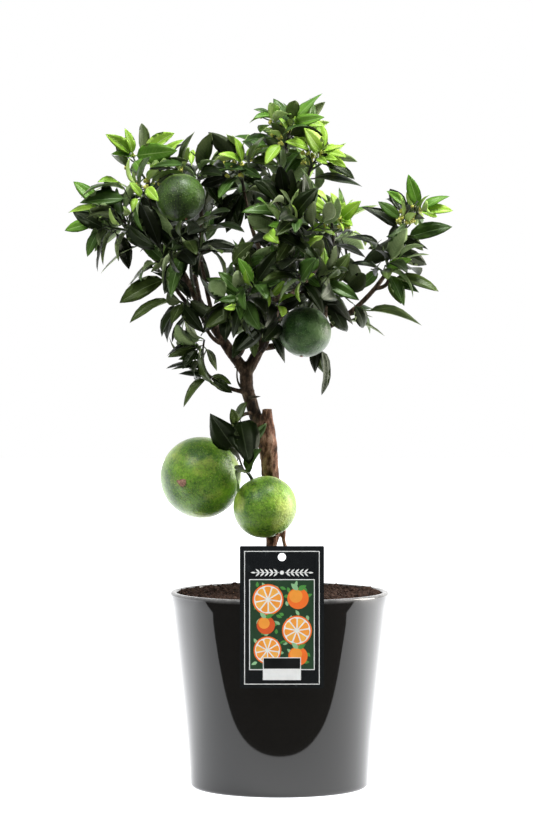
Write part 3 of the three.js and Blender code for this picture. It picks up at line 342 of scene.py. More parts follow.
class Bezier:
    """A bent limb or shoot, from its root to its tip."""

    def __init__(self, start, middle, end):
        self.start, self.middle, self.end = Vector(start), Vector(middle), Vector(end)

    def point(self, t):
        return self.start * (1 - t) ** 2 + self.middle * (2 * t * (1 - t)) + self.end * t * t

    def tangent(self, t):
        slope = (self.middle - self.start) * (1 - t) + (self.end - self.middle) * t
        return slope.normalized()


class Spline:
    """A smooth curve through points that each state a radius."""

    def __init__(self, stations):
        self.points = [Vector(at) for at, _ in stations]
        self.radii = [radius for _, radius in stations]

    def _span(self, t):
        place = min(max(t, 0.0), 1.0) * (len(self.points) - 1)
        i = min(int(place), len(self.points) - 2)
        return i, place - i

    def point(self, t):
        i, u = self._span(t)
        p1, p2 = self.points[i], self.points[i + 1]
        p0 = self.points[i - 1] if i > 0 else p1 * 2 - p2
        p3 = self.points[i + 2] if i + 2 < len(self.points) else p2 * 2 - p1
        m1, m2 = (p2 - p0) * 0.5, (p3 - p1) * 0.5
        u2, u3 = u * u, u * u * u
        ends = p1 * (2 * u3 - 3 * u2 + 1) + m1 * (u3 - 2 * u2 + u) + p2 * (3 * u2 - 2 * u3)
        return ends + m2 * (u3 - u2)

    def tangent(self, t):
        step = 0.004
        return (self.point(t + step) - self.point(t - step)).normalized()

    def radius(self, t):
        i, u = self._span(t)
        return mix(self.radii[i], self.radii[i + 1], u)


def grow_limbs():
    trunk = Spline(TRUNK)
    limbs = {"trunk": dict(curve=trunk, radius=trunk.radius, tip_radius=TRUNK[-1][1])}
    for name, parent, share, tip, bow, radii in BOUGHS:
        start = limbs[parent]["curve"].point(share)
        middle = start.lerp(Vector(tip), 0.5) + Vector(bow) * 2
        curve = Bezier(start, middle, tip)
        limbs[name] = dict(curve=curve, radius=taper(radii), tip_radius=radii[1])
    return limbs


LIMBS = grow_limbs()

# Meshes from arrays


class Heap:
    """Points, faces, face slots and UVs of many small things, joined into one mesh."""

    def __init__(self):
        self.points, self.faces, self.slots, self.uvs = [], [], [], []

    def add(self, points, faces, slots, uvs):
        base = len(self.points)
        self.points.extend(tuple(p) for p in points)
        self.faces.extend(tuple(v + base for v in face) for face in faces)
        self.slots.extend(slots)
        self.uvs.extend(uvs)

    def mesh(self, name):
        mesh = bpy.data.meshes.new(name)
        mesh.from_pydata((np.array(self.points) * MM).tolist(), [], self.faces)
        mesh.polygons.foreach_set("material_index", self.slots)
        layer = mesh.uv_layers.new(name="UVMap")
        corner = np.empty(len(mesh.loops), np.int32)
        mesh.loops.foreach_get("vertex_index", corner)
        layer.data.foreach_set("uv", np.array(self.uvs)[corner].ravel())
        mesh.update()
        return mesh


def add_object(name, mesh, materials, smooth=True):
    piece = bpy.data.objects.new(name, mesh)
    bpy.context.scene.collection.objects.link(piece)
    for material in materials:
        mesh.materials.append(material)
    mesh.polygons.foreach_set("use_smooth", [smooth] * len(mesh.polygons))
    return piece


def dress(piece, nodes):
    """A finished piece of the tree rides on the only body and stands for some of its solids."""
    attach(piece, "root")
    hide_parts(*nodes)


def shell_faces(rings, sides, foot, tip, start=0):
    """Quads between the rings of points that begin at number start, and a fan to each end."""
    faces = []
    last = start + (rings - 1) * sides
    for low in range(start, last, sides):
        high = low + sides
        for k in range(sides):
            n = (k + 1) % sides
            faces.append((low + k, low + n, high + n, high + k))
    for k in range(sides):
        n = (k + 1) % sides
        faces += [(foot, start + n, start + k), (tip, last + k, last + n)]
    return faces


def turned_over(faces):
    """The same faces, seen from their other side."""
    return [(face[0], *face[:0:-1]) for face in faces]


def joined(shapes):
    """Many (points, faces) shapes as one."""
    points, faces = [], []
    for some_points, some_faces in shapes:
        base = len(points)
        points += some_points
        faces += [tuple(v + base for v in face) for face in some_faces]
    return points, faces


def closed_tube(curve, radius, sides, steps):
    """Rings of changing radius along a curve, with a fan at each end."""
    across = perpendicular(curve.tangent(0))
    angles = [2 * math.pi * k / sides for k in range(sides)]
    points = []
    for i in range(steps + 1):
        t = i / steps
        along = curve.tangent(t)
        across = (across - along * across.dot(along)).normalized()
        over = along.cross(across)
        for a in angles:
            points.append(curve.point(t) + (across * math.cos(a) + over * math.sin(a)) * radius(t))
    foot = len(points)
    points += [curve.point(0), curve.point(1)]
    return points, shell_faces(steps + 1, sides, foot, foot + 1)


def mesh_object(name, points, faces, materials=(), smooth=True):
    mesh = bpy.data.meshes.new(name)
    mesh.from_pydata([tuple(Vector(p) * MM) for p in points], [], faces)
    mesh.update()
    return add_object(name, mesh, materials, smooth)


def keep_result(piece):
    """Makes what a piece's modifiers show its own plain mesh, and drops the modifiers."""
    bpy.context.view_layer.update()
    graph = bpy.context.evaluated_depsgraph_get()
    mesh = bpy.data.meshes.new_from_object(piece.evaluated_get(graph), depsgraph=graph)
    mesh.name = piece.name
    piece.modifiers.clear()
    old = piece.data
    piece.data = mesh
    bpy.data.meshes.remove(old)


# Materials


def linear(value):
    return value / 12.92 if value <= 0.04045 else ((value + 0.055) / 1.055) ** 2.4


def srgb(code):
    """The linear colour of a hex code."""
    return (*(linear(int(code[i : i + 2], 16) / 255) for i in (0, 2, 4)), 1.0)


def grey(value):
    return (value, value, value, 1.0)


class Nodes:
    """Short calls to build a shader or geometry tree."""

    def __init__(self, tree):
        self.tree = tree

    def add(self, kind, **settings):
        node = self.tree.nodes.new(kind)
        inputs = settings.pop("inputs", {})
        for key, value in settings.items():
            setattr(node, key, value)
        for key, value in inputs.items():
            self.feed(node, key, value)
        return node

    def feed(self, node, key, value):
        socket = node.inputs[key]
        if isinstance(value, bpy.types.NodeSocket):
            self.link(value, socket)
        else:
            socket.default_value = value

    def link(self, value, socket):
        self.tree.links.new(value, socket)

    def math(self, operation, a, b=0.0, c=0.0, clamped=False):
        node = self.add("ShaderNodeMath", operation=operation, use_clamp=clamped)
        for key, value in enumerate((a, b, c)):
            self.feed(node, key, value)
        return node.outputs[0]

    def vector_math(self, operation, inputs):
        return self.add("ShaderNodeVectorMath", operation=operation, inputs=inputs).outputs[0]

    def blend(self, factor, a, b):
        node = self.add("ShaderNodeMix", data_type="RGBA")
        for key, value in ((0, factor), (6, a), (7, b)):
            self.feed(node, key, value)
        return node.outputs[2]

    def ramp(self, value, *stops):
        node = self.add("ShaderNodeValToRGB", inputs={0: value})
        elements = node.color_ramp.elements
        while len(elements) < len(stops):
            elements.new(0.5)
        for element, (place, colour) in zip(elements, stops):
            element.position = place
            element.color = colour if len(colour) == 4 else (*colour, 1)
        return node.outputs[0]

    def noise(self, vector, scale, detail=4.0, roughness=0.55):
        kit = {"Vector": vector, "Scale": scale, "Detail": detail, "Roughness": roughness}
        return self.add("ShaderNodeTexNoise", inputs=kit).outputs["Fac"]


def material(name):
    """A new material with its Principled shader, and a Nodes kit for the rest."""
    made = bpy.data.materials.new(name)
    made.use_nodes = True
    kit = Nodes(made.node_tree)
    return made, kit, made.node_tree.nodes["Principled BSDF"]


def set_sockets(shader, **values):
    """Sets constants on the shader's own sockets."""
    for title, value in values.items():
        shader.inputs[title.replace("_", " ")].default_value = value


def node_group(kind, name, inputs, outputs):
    """A shader or geometry tree with named sockets, and a Nodes kit for what is in it."""
    tree = bpy.data.node_groups.new(name, kind)
    for title, socket_type, *first_value in inputs:
        socket = tree.interface.new_socket(name=title, in_out="INPUT", socket_type=socket_type)
        if first_value:
            socket.default_value = first_value[0]
    for title, socket_type in outputs:
        tree.interface.new_socket(name=title, in_out="OUTPUT", socket_type=socket_type)
    kit = Nodes(tree)
    return tree, kit, kit.add("NodeGroupInput").outputs, kit.add("NodeGroupOutput").inputs


def place_group(kit, tree, **inputs):
    node = kit.add("ShaderNodeGroup", node_tree=tree)
    for title, value in inputs.items():
        kit.feed(node, title.replace("_", " "), value)
    return node.outputs


def mottle_group():
    """Light and dark patches, and a fine relief, on leaf, skin or bark."""
    tree, kit, given, made = node_group(
        "ShaderNodeTree",
        "Mottle",
        [
            ("Dark", "NodeSocketColor", grey(0.1)),
            ("Light", "NodeSocketColor", grey(0.3)),
            ("Patch Scale", "NodeSocketFloat", 60.0),
            ("Grain Scale", "NodeSocketFloat", 900.0),
            ("Grain", "NodeSocketFloat", 0.3),
        ],
        [("Color", "NodeSocketColor"), ("Height", "NodeSocketFloat"), ("Mask", "NodeSocketFloat")],
    )
    place = kit.add("ShaderNodeTexCoord").outputs["Object"]
    patch = kit.noise(place, given["Patch Scale"], 3)
    grain = kit.noise(place, given["Grain Scale"], 2)
    spread = kit.math("MULTIPLY_ADD", patch, 2.4, -0.7, clamped=True)
    speckled = kit.math("MULTIPLY", kit.math("SUBTRACT", grain, 0.5), given["Grain"])
    shade = kit.math("ADD", spread, speckled, clamped=True)
    kit.link(kit.blend(shade, given["Dark"], given["Light"]), made["Color"])
    kit.link(grain, made["Height"])
    kit.link(spread, made["Mask"])
    return tree


MOTTLE = mottle_group()


def relief(kit, shader, height, depth, distance=0.001):
    bump = kit.add("ShaderNodeBump", inputs={"Strength": depth, "Distance": distance, "Height": height})
    kit.link(bump.outputs[0], shader.inputs["Normal"])


def mottled(name, dark, light, patch, grain, amount, rough, relief_depth=0.2, **sockets):
    """A material whose colour wanders between two, with a fine relief."""
    made, kit, shader = material(name)
    out = place_group(kit, MOTTLE, Dark=dark, Light=light, Patch_Scale=patch, Grain_Scale=grain, Grain=amount)
    kit.link(out["Color"], shader.inputs["Base Color"])
    low, high = rough
    kit.link(kit.math("MULTIPLY_ADD", out["Mask"], high - low, low), shader.inputs["Roughness"])
    relief(kit, shader, out["Height"], relief_depth)
    set_sockets(shader, **sockets)
    return made


# Leaf greens: top dark and light, underside dark and light, midrib
LEAF_TONES = {
    # dusk is a near-black copy of the greens: painted shade for leaves deep in the crown
    "dusk": ("040601", "0c1107", "171d10", "2b3417", "141c0b"),
    "deep": ("090f05", "1b280c", "39452a", "667248", "2e3b18"),
    "olive": ("1c2610", "50622c", "66744c", "9ba87c", "66783f"),
    "mature": ("223716", "4e6e2c", "5c7244", "96aa74", "608040"),
    "fresh": ("3c6618", "709a38", "7a9a4c", "a8be78", "84a850"),
    "young": ("709c2a", "a6ca4c", "90b252", "bed680", "b8d278"),
}


def vein_group():
    """Side veins that leave the midrib at a slant, and the pale margin, partly the leaf's own and partly painted rim
    light, from the leaf's own UVs.
    """
    sockets = [("Veins", "NodeSocketFloat", 9.0)], [("Mask", "NodeSocketFloat")]
    tree, kit, given, made = node_group("ShaderNodeTree", "Leaf Veins", *sockets)
    spot = kit.add("ShaderNodeUVMap", uv_map="UVMap").outputs[0]
    across, along, _ = kit.add("ShaderNodeSeparateXYZ", inputs={0: spot}).outputs
    aside = kit.math("ABSOLUTE", kit.math("SUBTRACT", across, 0.5))
    slant = kit.math("SUBTRACT", along, kit.math("MULTIPLY", aside, 0.34))
    wave = kit.math("PINGPONG", kit.math("MULTIPLY", slant, given["Veins"]), 0.5)
    line = kit.ramp(wave, (0.0, grey(1)), (0.09, grey(0)))
    fade = kit.ramp(aside, (0.05, grey(1)), (0.46, grey(0)))
    # The pale margin: partly the leaf's own, partly painted rim light along its edge
    margin = kit.ramp(aside, (0.465, grey(0)), (0.49, grey(1)))
    kit.link(kit.math("MAXIMUM", kit.math("MULTIPLY", line, fade), margin), made["Mask"])
    return tree


VEINS = vein_group()


def leaf_skin(name, dark, light, rough, vein_share, gloss):
    """One face of a leaf: mottled green, side veins a little paler, a pale margin that is partly painted rim light, a
    coat of wax on top.
    """
    made, kit, shader = material(name)
    out = place_group(kit, MOTTLE, Dark=dark, Light=light, Patch_Scale=38.0, Grain_Scale=1500.0, Grain=0.25)
    veins = place_group(kit, VEINS, Veins=13.0)["Mask"]
    paler = kit.math("MULTIPLY", veins, vein_share)
    tint = kit.blend(paler, out["Color"], tuple(min(1.0, 2.3 * c) for c in light[:3]) + (1.0,))
    kit.link(tint, shader.inputs["Base Color"])
    set_sockets(shader, Roughness=rough, Specular_IOR_Level=0.22, Specular_Tint=(0.85, 1.0, 0.6, 1.0))
    set_sockets(shader, Coat_Weight=gloss, Coat_Roughness=0.25)
    height = kit.math("ADD", kit.math("MULTIPLY", out["Height"], 0.35), kit.math("MULTIPLY", veins, -0.5))
    relief(kit, shader, height, 0.3, 0.0006)
    return made


def leaf_materials(tone):
    top_dark, top_light, low_dark, low_light, rib = (srgb(code) for code in LEAF_TONES[tone])
    young = tone in ("young", "fresh")
    return [
        leaf_skin(f"leaf_top_{tone}", top_dark, top_light, 0.36, 0.2 if young else 0.12, 0.06),
        leaf_skin(f"leaf_underside_{tone}", low_dark, low_light, 0.55, 0.3, 0.0),
        mottled(f"leaf_rib_{tone}", rib, rib, 60.0, 900.0, 0.1, (0.4, 0.5)),
    ]


# The leaf's blade, in millimetres

LEAF = dict(length=50, half_width=10.8, petiole=0.12, widest=0.4)
LEAF_ROWS = (0.05, 0.12, 0.2, 0.33, 0.48, 0.63, 0.78, 0.91)
LEAF_COLUMNS = (-1.0, -0.5, -0.045, 0.045, 0.5, 1.0)
STALK_ROWS = 2  # rows that belong to the stalk
KEEP_OFF = 0.25  # how far twigs and leaves stay off what they don't grow on
GUARD_THICK = 0.3 + 2 * KEEP_OFF
LEAF_TOP, LEAF_UNDER, LEAF_RIB = 0, 1, 2  # material slots


def blade_width(leaf, t):
    u = max(0.0, (t - LEAF["petiole"]) / (1 - LEAF["petiole"]))
    rise = 0.65
    fade = rise * (1 - LEAF["widest"]) / LEAF["widest"]
    peak = LEAF["widest"] ** rise * (1 - LEAF["widest"]) ** fade
    return max(leaf["half_width"] * u**rise * (1 - u) ** fade / peak, 0.55)


def leaf_point(leaf, t, side, lift=0.0):
    """A point of the blade: t runs from root to tip, side from -1 to 1, lift is off its face."""
    bend = leaf["curl"] * t
    reach = leaf["length"] / leaf["curl"]
    width = blade_width(leaf, t)
    fold = leaf["fold"] * (1 - 0.5 * t)
    face = leaf["face"] * math.cos(bend) + leaf["heading"] * math.sin(bend)
    turn = leaf["twist"] * t
    right = leaf["right"] * math.cos(turn) + face * math.sin(turn)
    face = face * math.cos(turn) - leaf["right"] * math.sin(turn)
    ripple = math.sin(t * 8 + leaf["phase"] + (2 if side > 0 else 0))
    wave = leaf["wave"] * width * side * side * ripple
    point = leaf["root"] + leaf["heading"] * (reach * math.sin(bend))
    point -= leaf["face"] * (reach * (1 - math.cos(bend)))
    point += right * (side * width * math.cos(fold))
    return point + face * (abs(side) * width * math.sin(fold) + wave + lift)


def leaf_outline(leaf, thick):
    """The coarse leaf that the crossing tests use."""
    rim = [(0, 0), (0.33, 1), (0.665, 1), (1, 0), (0.665, -1), (0.33, -1)]
    points = [leaf_point(leaf, t, side if 0 < t < 1 else 0) for t, side in rim]
    points += [leaf_point(leaf, 0.45, 0, thick / 2), leaf_point(leaf, 0.45, 0, -thick / 2)]
    faces = []
    for i in range(6):
        faces += [(6, i, (i + 1) % 6), (7, (i + 1) % 6, i)]
    return points, faces


def fine_leaf(leaf):
    """Two skins welded along the margin. The midrib and the stalk have a slot of their own."""
    columns = len(LEAF_COLUMNS)
    points, uvs = [leaf_point(leaf, 0, 0)], [(0.5, 0.0)]
    top, low = [], []
    for i, t in enumerate(LEAF_ROWS):
        half = 0.45 if i < STALK_ROWS else 0.14
        top_row, low_row = [], []
        for j, side in enumerate(LEAF_COLUMNS):
            rim = j in (0, columns - 1)
            rib = abs(side) < 0.1
            top_row.append(len(points))
            points.append(leaf_point(leaf, t, side, 0.0 if rim else half))
            uvs.append((0.5 + side / 2, t))
            if not rim:
                points.append(leaf_point(leaf, t, side, -half - (0.35 * (1 - t) if rib else 0.0)))
                uvs.append((0.5 + side / 2, t))
            low_row.append(len(points) - 1)
        top.append(top_row)
        low.append(low_row)
    tip = len(points)
    points.append(leaf_point(leaf, 1, 0))
    uvs.append((0.5, 1.0))
    faces, slots = [], []
    for rows, upper in ((top, True), (low, False)):
        turn = 1 if upper else -1
        skin = LEAF_TOP if upper else LEAF_UNDER
        for j in range(columns - 1):
            faces.append((0, rows[0][j + 1], rows[0][j])[::turn])
            faces.append((tip, rows[-1][j], rows[-1][j + 1])[::turn])
            slots += [LEAF_RIB, skin]
            rib = upper and j == columns // 2 - 1
            for i in range(len(rows) - 1):
                quad = (rows[i][j], rows[i][j + 1], rows[i + 1][j + 1], rows[i + 1][j])
                faces.append(quad[::turn])
                slots.append(LEAF_RIB if rib or i < STALK_ROWS - 1 else skin)
    return points, faces, slots, uvs


# Crossing tests keep leaves, twigs, fruit and limbs apart


class Crowd:
    """The shapes that are there already, and whether a new one would cross any of them."""

    ROOM = 9000

    def __init__(self):
        self.middles = np.empty((self.ROOM, 3))
        self.reaches = np.empty(self.ROOM)
        self.shapes = []

    @staticmethod
    def shape(points, faces):
        middle = sum(points, Vector()) / len(points)
        reach = max((p - middle).length for p in points)
        return middle, reach, BVHTree.FromPolygons([tuple(p) for p in points], faces)

    def add(self, shape, owner, mass):
        middle, reach, tree = shape
        n = len(self.shapes)
        self.middles[n] = middle
        self.reaches[n] = reach
        self.shapes.append((tree, owner, mass))

    def crosses(self, shape, owner=None, mass=None):
        middle, reach, tree = shape
        n = len(self.shapes)
        away = np.linalg.norm(self.middles[:n] - np.array(middle), axis=1)
        for i in np.nonzero(away < self.reaches[:n] + reach)[0]:
            other, its_owner, its_mass = self.shapes[i]
            if (owner and its_owner is owner) or (mass and its_mass == mass):
                continue
            if tree.overlap(other):
                return True
        return False


# Twigs: a leader from the bough's tip, side shoots round it at the golden angle, and finer
# shoots on those

TWIG_SIDES = 3
LEADER_BARE = 0.45  # the share of a leader that has no leaves
FRUIT_ROOM = 1.5  # how far twigs and leaves stay off a fruit
SPREAD_ROOM = 0.6  # the share of its spread that a mass may reach off its spine
FINE_SHOOTS = {0: 4, 1: 3}  # how many on the leader and on each side shoot
FINE_SEED, LEAF_SEED, LEADING_SEED = 5000, 1000, 9000  # added to the mass's own seed

# Ranges of the place on the parent, of the lean off it and of the length; size is the share of
# the mass's spread, and stray is how far a shoot may turn past its golden angle
SIDE_SHOOT = dict(
    order=1,
    along=(0.25, 0.8),
    lean=(0.85, 1.15),
    reach=(0.8, 1.1),
    size=1,
    stray=0.8,
    radii=(1.35, 0.7),
    bare=0.3,
)
FINE_SHOOT = dict(
    order=2,
    along=(0.35, 0.85),
    lean=(0.7, 1.1),
    reach=(0.8, 1.15),
    size=0.55,
    stray=2,
    radii=(0.85, 0.5),
    bare=0.25,
)


def leader_shoot(mass):
    bough = LIMBS[mass["bough"]]
    heading = bough["curve"].tangent(1)
    start = bough["curve"].point(1) + heading * GAP
    tip = Vector(mass["tip"])
    reach = (tip - start).length
    curve = Bezier(start, start + heading * reach * 0.4, tip)
    radii = bough["tip_radius"] * 0.95, 0.9
    return dict(curve=curve, radii=radii, bare=mass.get("bare", LEADER_BARE), reach=reach, order=0)


def side_shoot(kind, mass, parent, k, count, draw):
    """The k-th of count shoots of a kind that leave their parent."""
    share = mix(*kind["along"], (k + 0.5) / count)
    aside = (k + parent["order"]) * GOLDEN + draw() * kind["stray"]
    lean = mix(*kind["lean"], draw())
    reach = mass["spread"] * kind["size"] * mix(*kind["reach"], draw())
    along = parent["curve"].tangent(share)
    aim = along * math.cos(lean) + perpendicular(along, aside) * math.sin(lean)
    root = parent["curve"].point(share)
    curve = Bezier(root, root + aim * reach * 0.55, root + aim * reach + UP * reach * 0.2)
    return dict(curve=curve, radii=kind["radii"], bare=kind["bare"], reach=reach, order=kind["order"])


def fruit_stalk(fruit, leader):
    _, at, radius, stalk, start, _ = fruit
    centre, out = Vector(at), Vector(stalk).normalized()
    curve = Bezier(leader["curve"].point(start), centre + out * (radius + 9), centre + out * radius * 0.9)
    return dict(curve=curve, radii=(1.5, 1.7))


def in_clearing(points):
    return any(
        p.y < behind and math.hypot(p.x - x, p.z - z) < radius
        for x, z, radius, behind in CLEARINGS
        for p in points
    )


def in_fruit(points):
    return any((p - Vector(at)).length < radius + FRUIT_ROOM for _, at, radius, *_ in FRUIT for p in points)


def in_crown(point):
    low, high = CROWN_REACH
    return all(low[k] < point[k] < high[k] for k in range(3))


def in_own_space(points, mass):
    start, end = LIMBS[mass["bough"]]["curve"].point(1), Vector(mass["tip"])
    spine = end - start
    room = SPREAD_ROOM * mass["spread"] + LEAF_ROOM * LEAF_REACH
    for p in points:
        share = clamp((p - start).dot(spine) / spine.length_squared)
        if not in_crown(p) or (p - start - spine * share).length >= room:
            return False
    return True


def twig_shape(shoot):
    radius = taper(shoot["radii"])
    points, faces = closed_tube(shoot["curve"], lambda t: radius(t) + KEEP_OFF, TWIG_SIDES, 3)
    return Crowd.shape(points, faces)


def grow_twigs(name, mass, crowd):
    draw = seeded(mass["seed"])
    leader, count = leader_shoot(mass), mass["shoots"]
    side = [side_shoot(SIDE_SHOOT, mass, leader, k, count, draw) for k in range(count)]
    stalks = [fruit_stalk(fruit, leader) for fruit in FRUIT if fruit[0] == name]
    for twig in [leader, *stalks]:
        crowd.add(twig_shape(twig), twig, name)
    shoots = [leader]

    def try_shoot(shoot):
        shape = twig_shape(shoot)
        ends = [shoot["curve"].point(t) for t in (0.3, 0.65, 1)]
        if in_clearing(ends) or in_fruit(ends) or crowd.crosses(shape, mass=name):
            return
        crowd.add(shape, shoot, name)
        shoots.append(shoot)

    for shoot in side:
        try_shoot(shoot)
    fine_draw = seeded(mass["seed"] + FINE_SEED)
    for parent in list(shoots):
        count = FINE_SHOOTS[parent["order"]]
        for k in range(count):
            try_shoot(side_shoot(FINE_SHOOT, mass, parent, k, count, fine_draw))
    for i, shoot in enumerate(shoots):
        shoot["draw"] = seeded(mass["seed"] + LEAF_SEED + i)
        shoot["young"] = mass["young"]
    return shoots, stalks


# Leaves along a shoot, spiralling, with the last few at its tip

LEAF_EVERY = 4.6
TURNS_TRIED = (0, 0.6, -0.6, 1.2, -1.2, 1.8, -1.8, 2.5)
PLACES_TRIED = 20
LEAF_DRAWS = 10
LEADING_CURL = 0.5
LEADING_WIDTH = 0.2  # a leading leaf's half width, as a share of its length
LEADING_WIDEST = 1.1  # its most, as a share of the usual leaf's half width
FRONT = Vector((0, -1, 0))
DUSK_FROM, DEEP_FROM = 0.6, 0.26

# From a shoot's foot to its tip
SPLAY, DROOP = (1.35, 0.7), (-0.4, 0.05)

# From the least to the most
SPLAY_STRAY, DROOP_STRAY = (-0.3, 0.3), (-0.3, 0.2)
LEAF_SIZE, YOUNG_SIZE, LEAF_BREADTH = (0.72, 1.14), (0.5, 0.8), (0.82, 1.1)
CURL, FOLD, TWIST, WAVE = (0.25, 1.25), (0.15, 0.7), (-0.7, 0.7), (0.02, 0.14)


def leaf_at(shoot, mass, share, turn, draws):
    root = shoot["curve"].point(share)
    along = shoot["curve"].tangent(share)
    out = (root - CROWN_CENTRE).normalized()
    splay = mix(*SPLAY, share) + mix(*SPLAY_STRAY, draws[0])
    heading = along * math.cos(splay) + perpendicular(along, turn) * math.sin(splay) + out * 0.25
    droop = mix(*DROOP, share) + mix(*DROOP_STRAY, draws[9])
    heading = (heading + Vector(mass.get("sweep", (0, 0, 0))) + UP * droop).normalized()
    face = UP * 0.6 + out * 0.5 + perpendicular(heading, 2 * math.pi * draws[1]) * 0.75
    face = (face - heading * face.dot(heading)).normalized()
    tone = leaf_tone(mass, root, share, draws)
    size = mass.get("size", 1) * mix(*LEAF_SIZE, draws[2]) * mix(1, 0.85, share**4)
    if tone == "young":
        size *= mix(*YOUNG_SIZE, draws[8])
    return dict(
        root=root,
        heading=heading,
        face=face,
        right=heading.cross(face),
        length=LEAF["length"] * size,
        half_width=LEAF["half_width"] * size * mix(*LEAF_BREADTH, draws[7]),
        curl=mix(*CURL, draws[3]),
        fold=mix(*FOLD, draws[5]),
        twist=mix(*TWIST, draws[8]),
        wave=mix(*WAVE, draws[6]),
        phase=6 * draws[6] + 3 * draws[5],
        tone=tone,
    )


def leading_leaf(shoots, mass, row, draws):
    """A leaf from the twig nearest to its foot's place to the place where it has to end."""
    end, foot, show, tone = row
    tip = Vector(end)
    wanted = Vector((foot[0], tip.y, foot[1]))
    places = [(shoot, k / PLACES_TRIED) for shoot in shoots for k in range(PLACES_TRIED + 1)]

    def off(place):
        away = place[0]["curve"].point(place[1]) - wanted
        return away.x**2 + 0.2 * away.y**2 + away.z**2

    shoot, share = min(places, key=off)
    leaf = leaf_at(shoot, mass, share, 0, draws)
    chord = (tip - leaf["root"]).normalized()
    edge = FRONT.cross(chord).normalized()
    face = FRONT * show + edge * (math.copysign(1, edge.z) * math.sqrt(1 - show * show))
    face = (face - chord * face.dot(chord)).normalized()
    half = LEADING_CURL / 2
    leaf["curl"] = LEADING_CURL
    leaf["length"] = (tip - leaf["root"]).length * half / math.sin(half)
    leaf["heading"] = chord * math.cos(half) + face * math.sin(half)
    leaf["face"] = face * math.cos(half) - chord * math.sin(half)
    leaf["right"] = leaf["heading"].cross(leaf["face"])
    width = min(leaf["length"] * LEADING_WIDTH, LEAF["half_width"] * LEADING_WIDEST)
    leaf["half_width"] = width * mass.get("broad", 1)
    leaf["tone"] = tone
    return leaf


def leaf_tone(mass, root, share, draws):
    """A leaf is young at a fresh shoot's tip, darker for age further down it, and darker still by painted shade inside
    and at the back of the crown.
    """
    # Painted shade: leaves towards the crown's back, and partly those low on their shoot, get the darker greens
    dark = draws[7] * 0.7 + clamp((root.y + 60) / 160) * 0.45 + 0.3 * (1 - share)
    if share > 0.6 and draws[4] < mass["young"]:
        return "young" if share > 0.78 else "fresh"
    if share > 0.4 and draws[4] < mass["young"] + 0.2:
        return "mature"
    return "dusk" if dark > DUSK_FROM else "deep" if dark > DEEP_FROM else "olive"


def grow_leaves(shoot, name, mass, crowd):
    count = round(shoot["reach"] * (1 - shoot["bare"]) / LEAF_EVERY) + 2
    leaves = []
    for k in range(count):
        share = mix(shoot["bare"], 1, 1 - (1 - min(1.0, (k + 0.5) / (count - 1))) ** 1.3)
        draws = [shoot["draw"]() for _ in range(LEAF_DRAWS)]
        for extra in TURNS_TRIED:
            leaf = leaf_at(shoot, mass, share, k * GOLDEN + extra, draws)
            points, faces = leaf_outline(leaf, GUARD_THICK)
            if in_clearing(points) or in_fruit(points) or not in_own_space(points, mass):
                continue
            shape = Crowd.shape(points, faces)
            if crowd.crosses(shape, owner=shoot):
                continue
            crowd.add(shape, None, name)
            leaves.append(leaf)
            break
    return leaves


def grow_crown():
    crowd = Crowd()
    for name, limb in LIMBS.items():
        points, faces = closed_tube(limb["curve"], lambda t, r=limb["radius"]: r(t) + KEEP_OFF, 6, 8)
        crowd.add(Crowd.shape(points, faces), None, None)
    twigs = {name: grow_twigs(name, mass, crowd) for name, mass in MASSES.items()}
    leaves = []
    for name, rows in LEADING_LEAVES.items():
        draw = seeded(MASSES[name]["seed"] + LEADING_SEED)
        for row in rows:
            draws = [draw() for _ in range(LEAF_DRAWS)]
            leaf = leading_leaf(twigs[name][0], MASSES[name], row, draws)
            leaves.append(leaf)
            crowd.add(Crowd.shape(*leaf_outline(leaf, GUARD_THICK)), None, name)
    for name, (shoots, _) in twigs.items():
        for shoot in shoots:
            leaves += grow_leaves(shoot, name, MASSES[name], crowd)
    shoots = [shoot for grown, _ in twigs.values() for shoot in grown]
    stalks = [stalk for _, grown in twigs.values() for stalk in grown]
    return shoots, stalks, leaves


SHOOTS, STALKS, LEAVES = grow_crown()


def leaf_pieces():
    for tone in LEAF_TONES:
        heap = Heap()
        for leaf in LEAVES:
            if leaf["tone"] == tone:
                heap.add(*fine_leaf(leaf))
        name = f"leaves_{tone}"
        dress(add_object(name, heap.mesh(name), leaf_materials(tone)), MASSES)


# Twigs, thorns and stalks: wires that Geometry Nodes give a round section


def sweep_tree():
    """Gives every wire of a mesh a round, closed section of the radius that its points state."""
    tree, kit, given, made = node_group(
        "GeometryNodeTree",
        "Round Twigs",
        [("Wires", "NodeSocketGeometry"), ("Sides", "NodeSocketInt"), ("Finish", "NodeSocketMaterial")],
        [("Twigs", "NodeSocketGeometry")],
    )
    named = kit.add("GeometryNodeInputNamedAttribute", data_type="FLOAT", inputs={"Name": "girth"})
    girth = named.outputs[0]
    wires = kit.add("GeometryNodeMeshToCurve", inputs={0: given["Wires"]}).outputs[0]
    sized = kit.add("GeometryNodeSetCurveRadius", inputs={"Curve": wires, "Radius": girth}).outputs[0]
    ring = kit.add("GeometryNodeCurvePrimitiveCircle", inputs={"Resolution": given["Sides"], "Radius": 1.0})
    sweep = {"Curve": sized, "Profile Curve": ring.outputs[0], "Scale": girth, "Fill Caps": True}
    tube = kit.add("GeometryNodeCurveToMesh", inputs=sweep)
    smooth = kit.add("GeometryNodeSetShadeSmooth", inputs={"Geometry": tube.outputs[0]}).outputs[0]
    whole = kit.add("GeometryNodeRealizeInstances", inputs={0: smooth}).outputs[0]
    finished = kit.add("GeometryNodeSetMaterial", inputs={"Geometry": whole, "Material": given["Finish"]})
    kit.link(finished.outputs[0], made["Twigs"])
    return tree


def run_tree(piece, tree, **values):
    """Puts a Geometry Nodes tree on a piece, sets its inputs and keeps the result as its mesh."""
    modifier = piece.modifiers.new(tree.name, "NODES")
    modifier.node_group = tree
    for item in tree.interface.items_tree:
        title = item.name.replace(" ", "_")
        if item.in_out == "INPUT" and title in values:
            modifier[item.identifier] = values[title]
    keep_result(piece)
    return piece


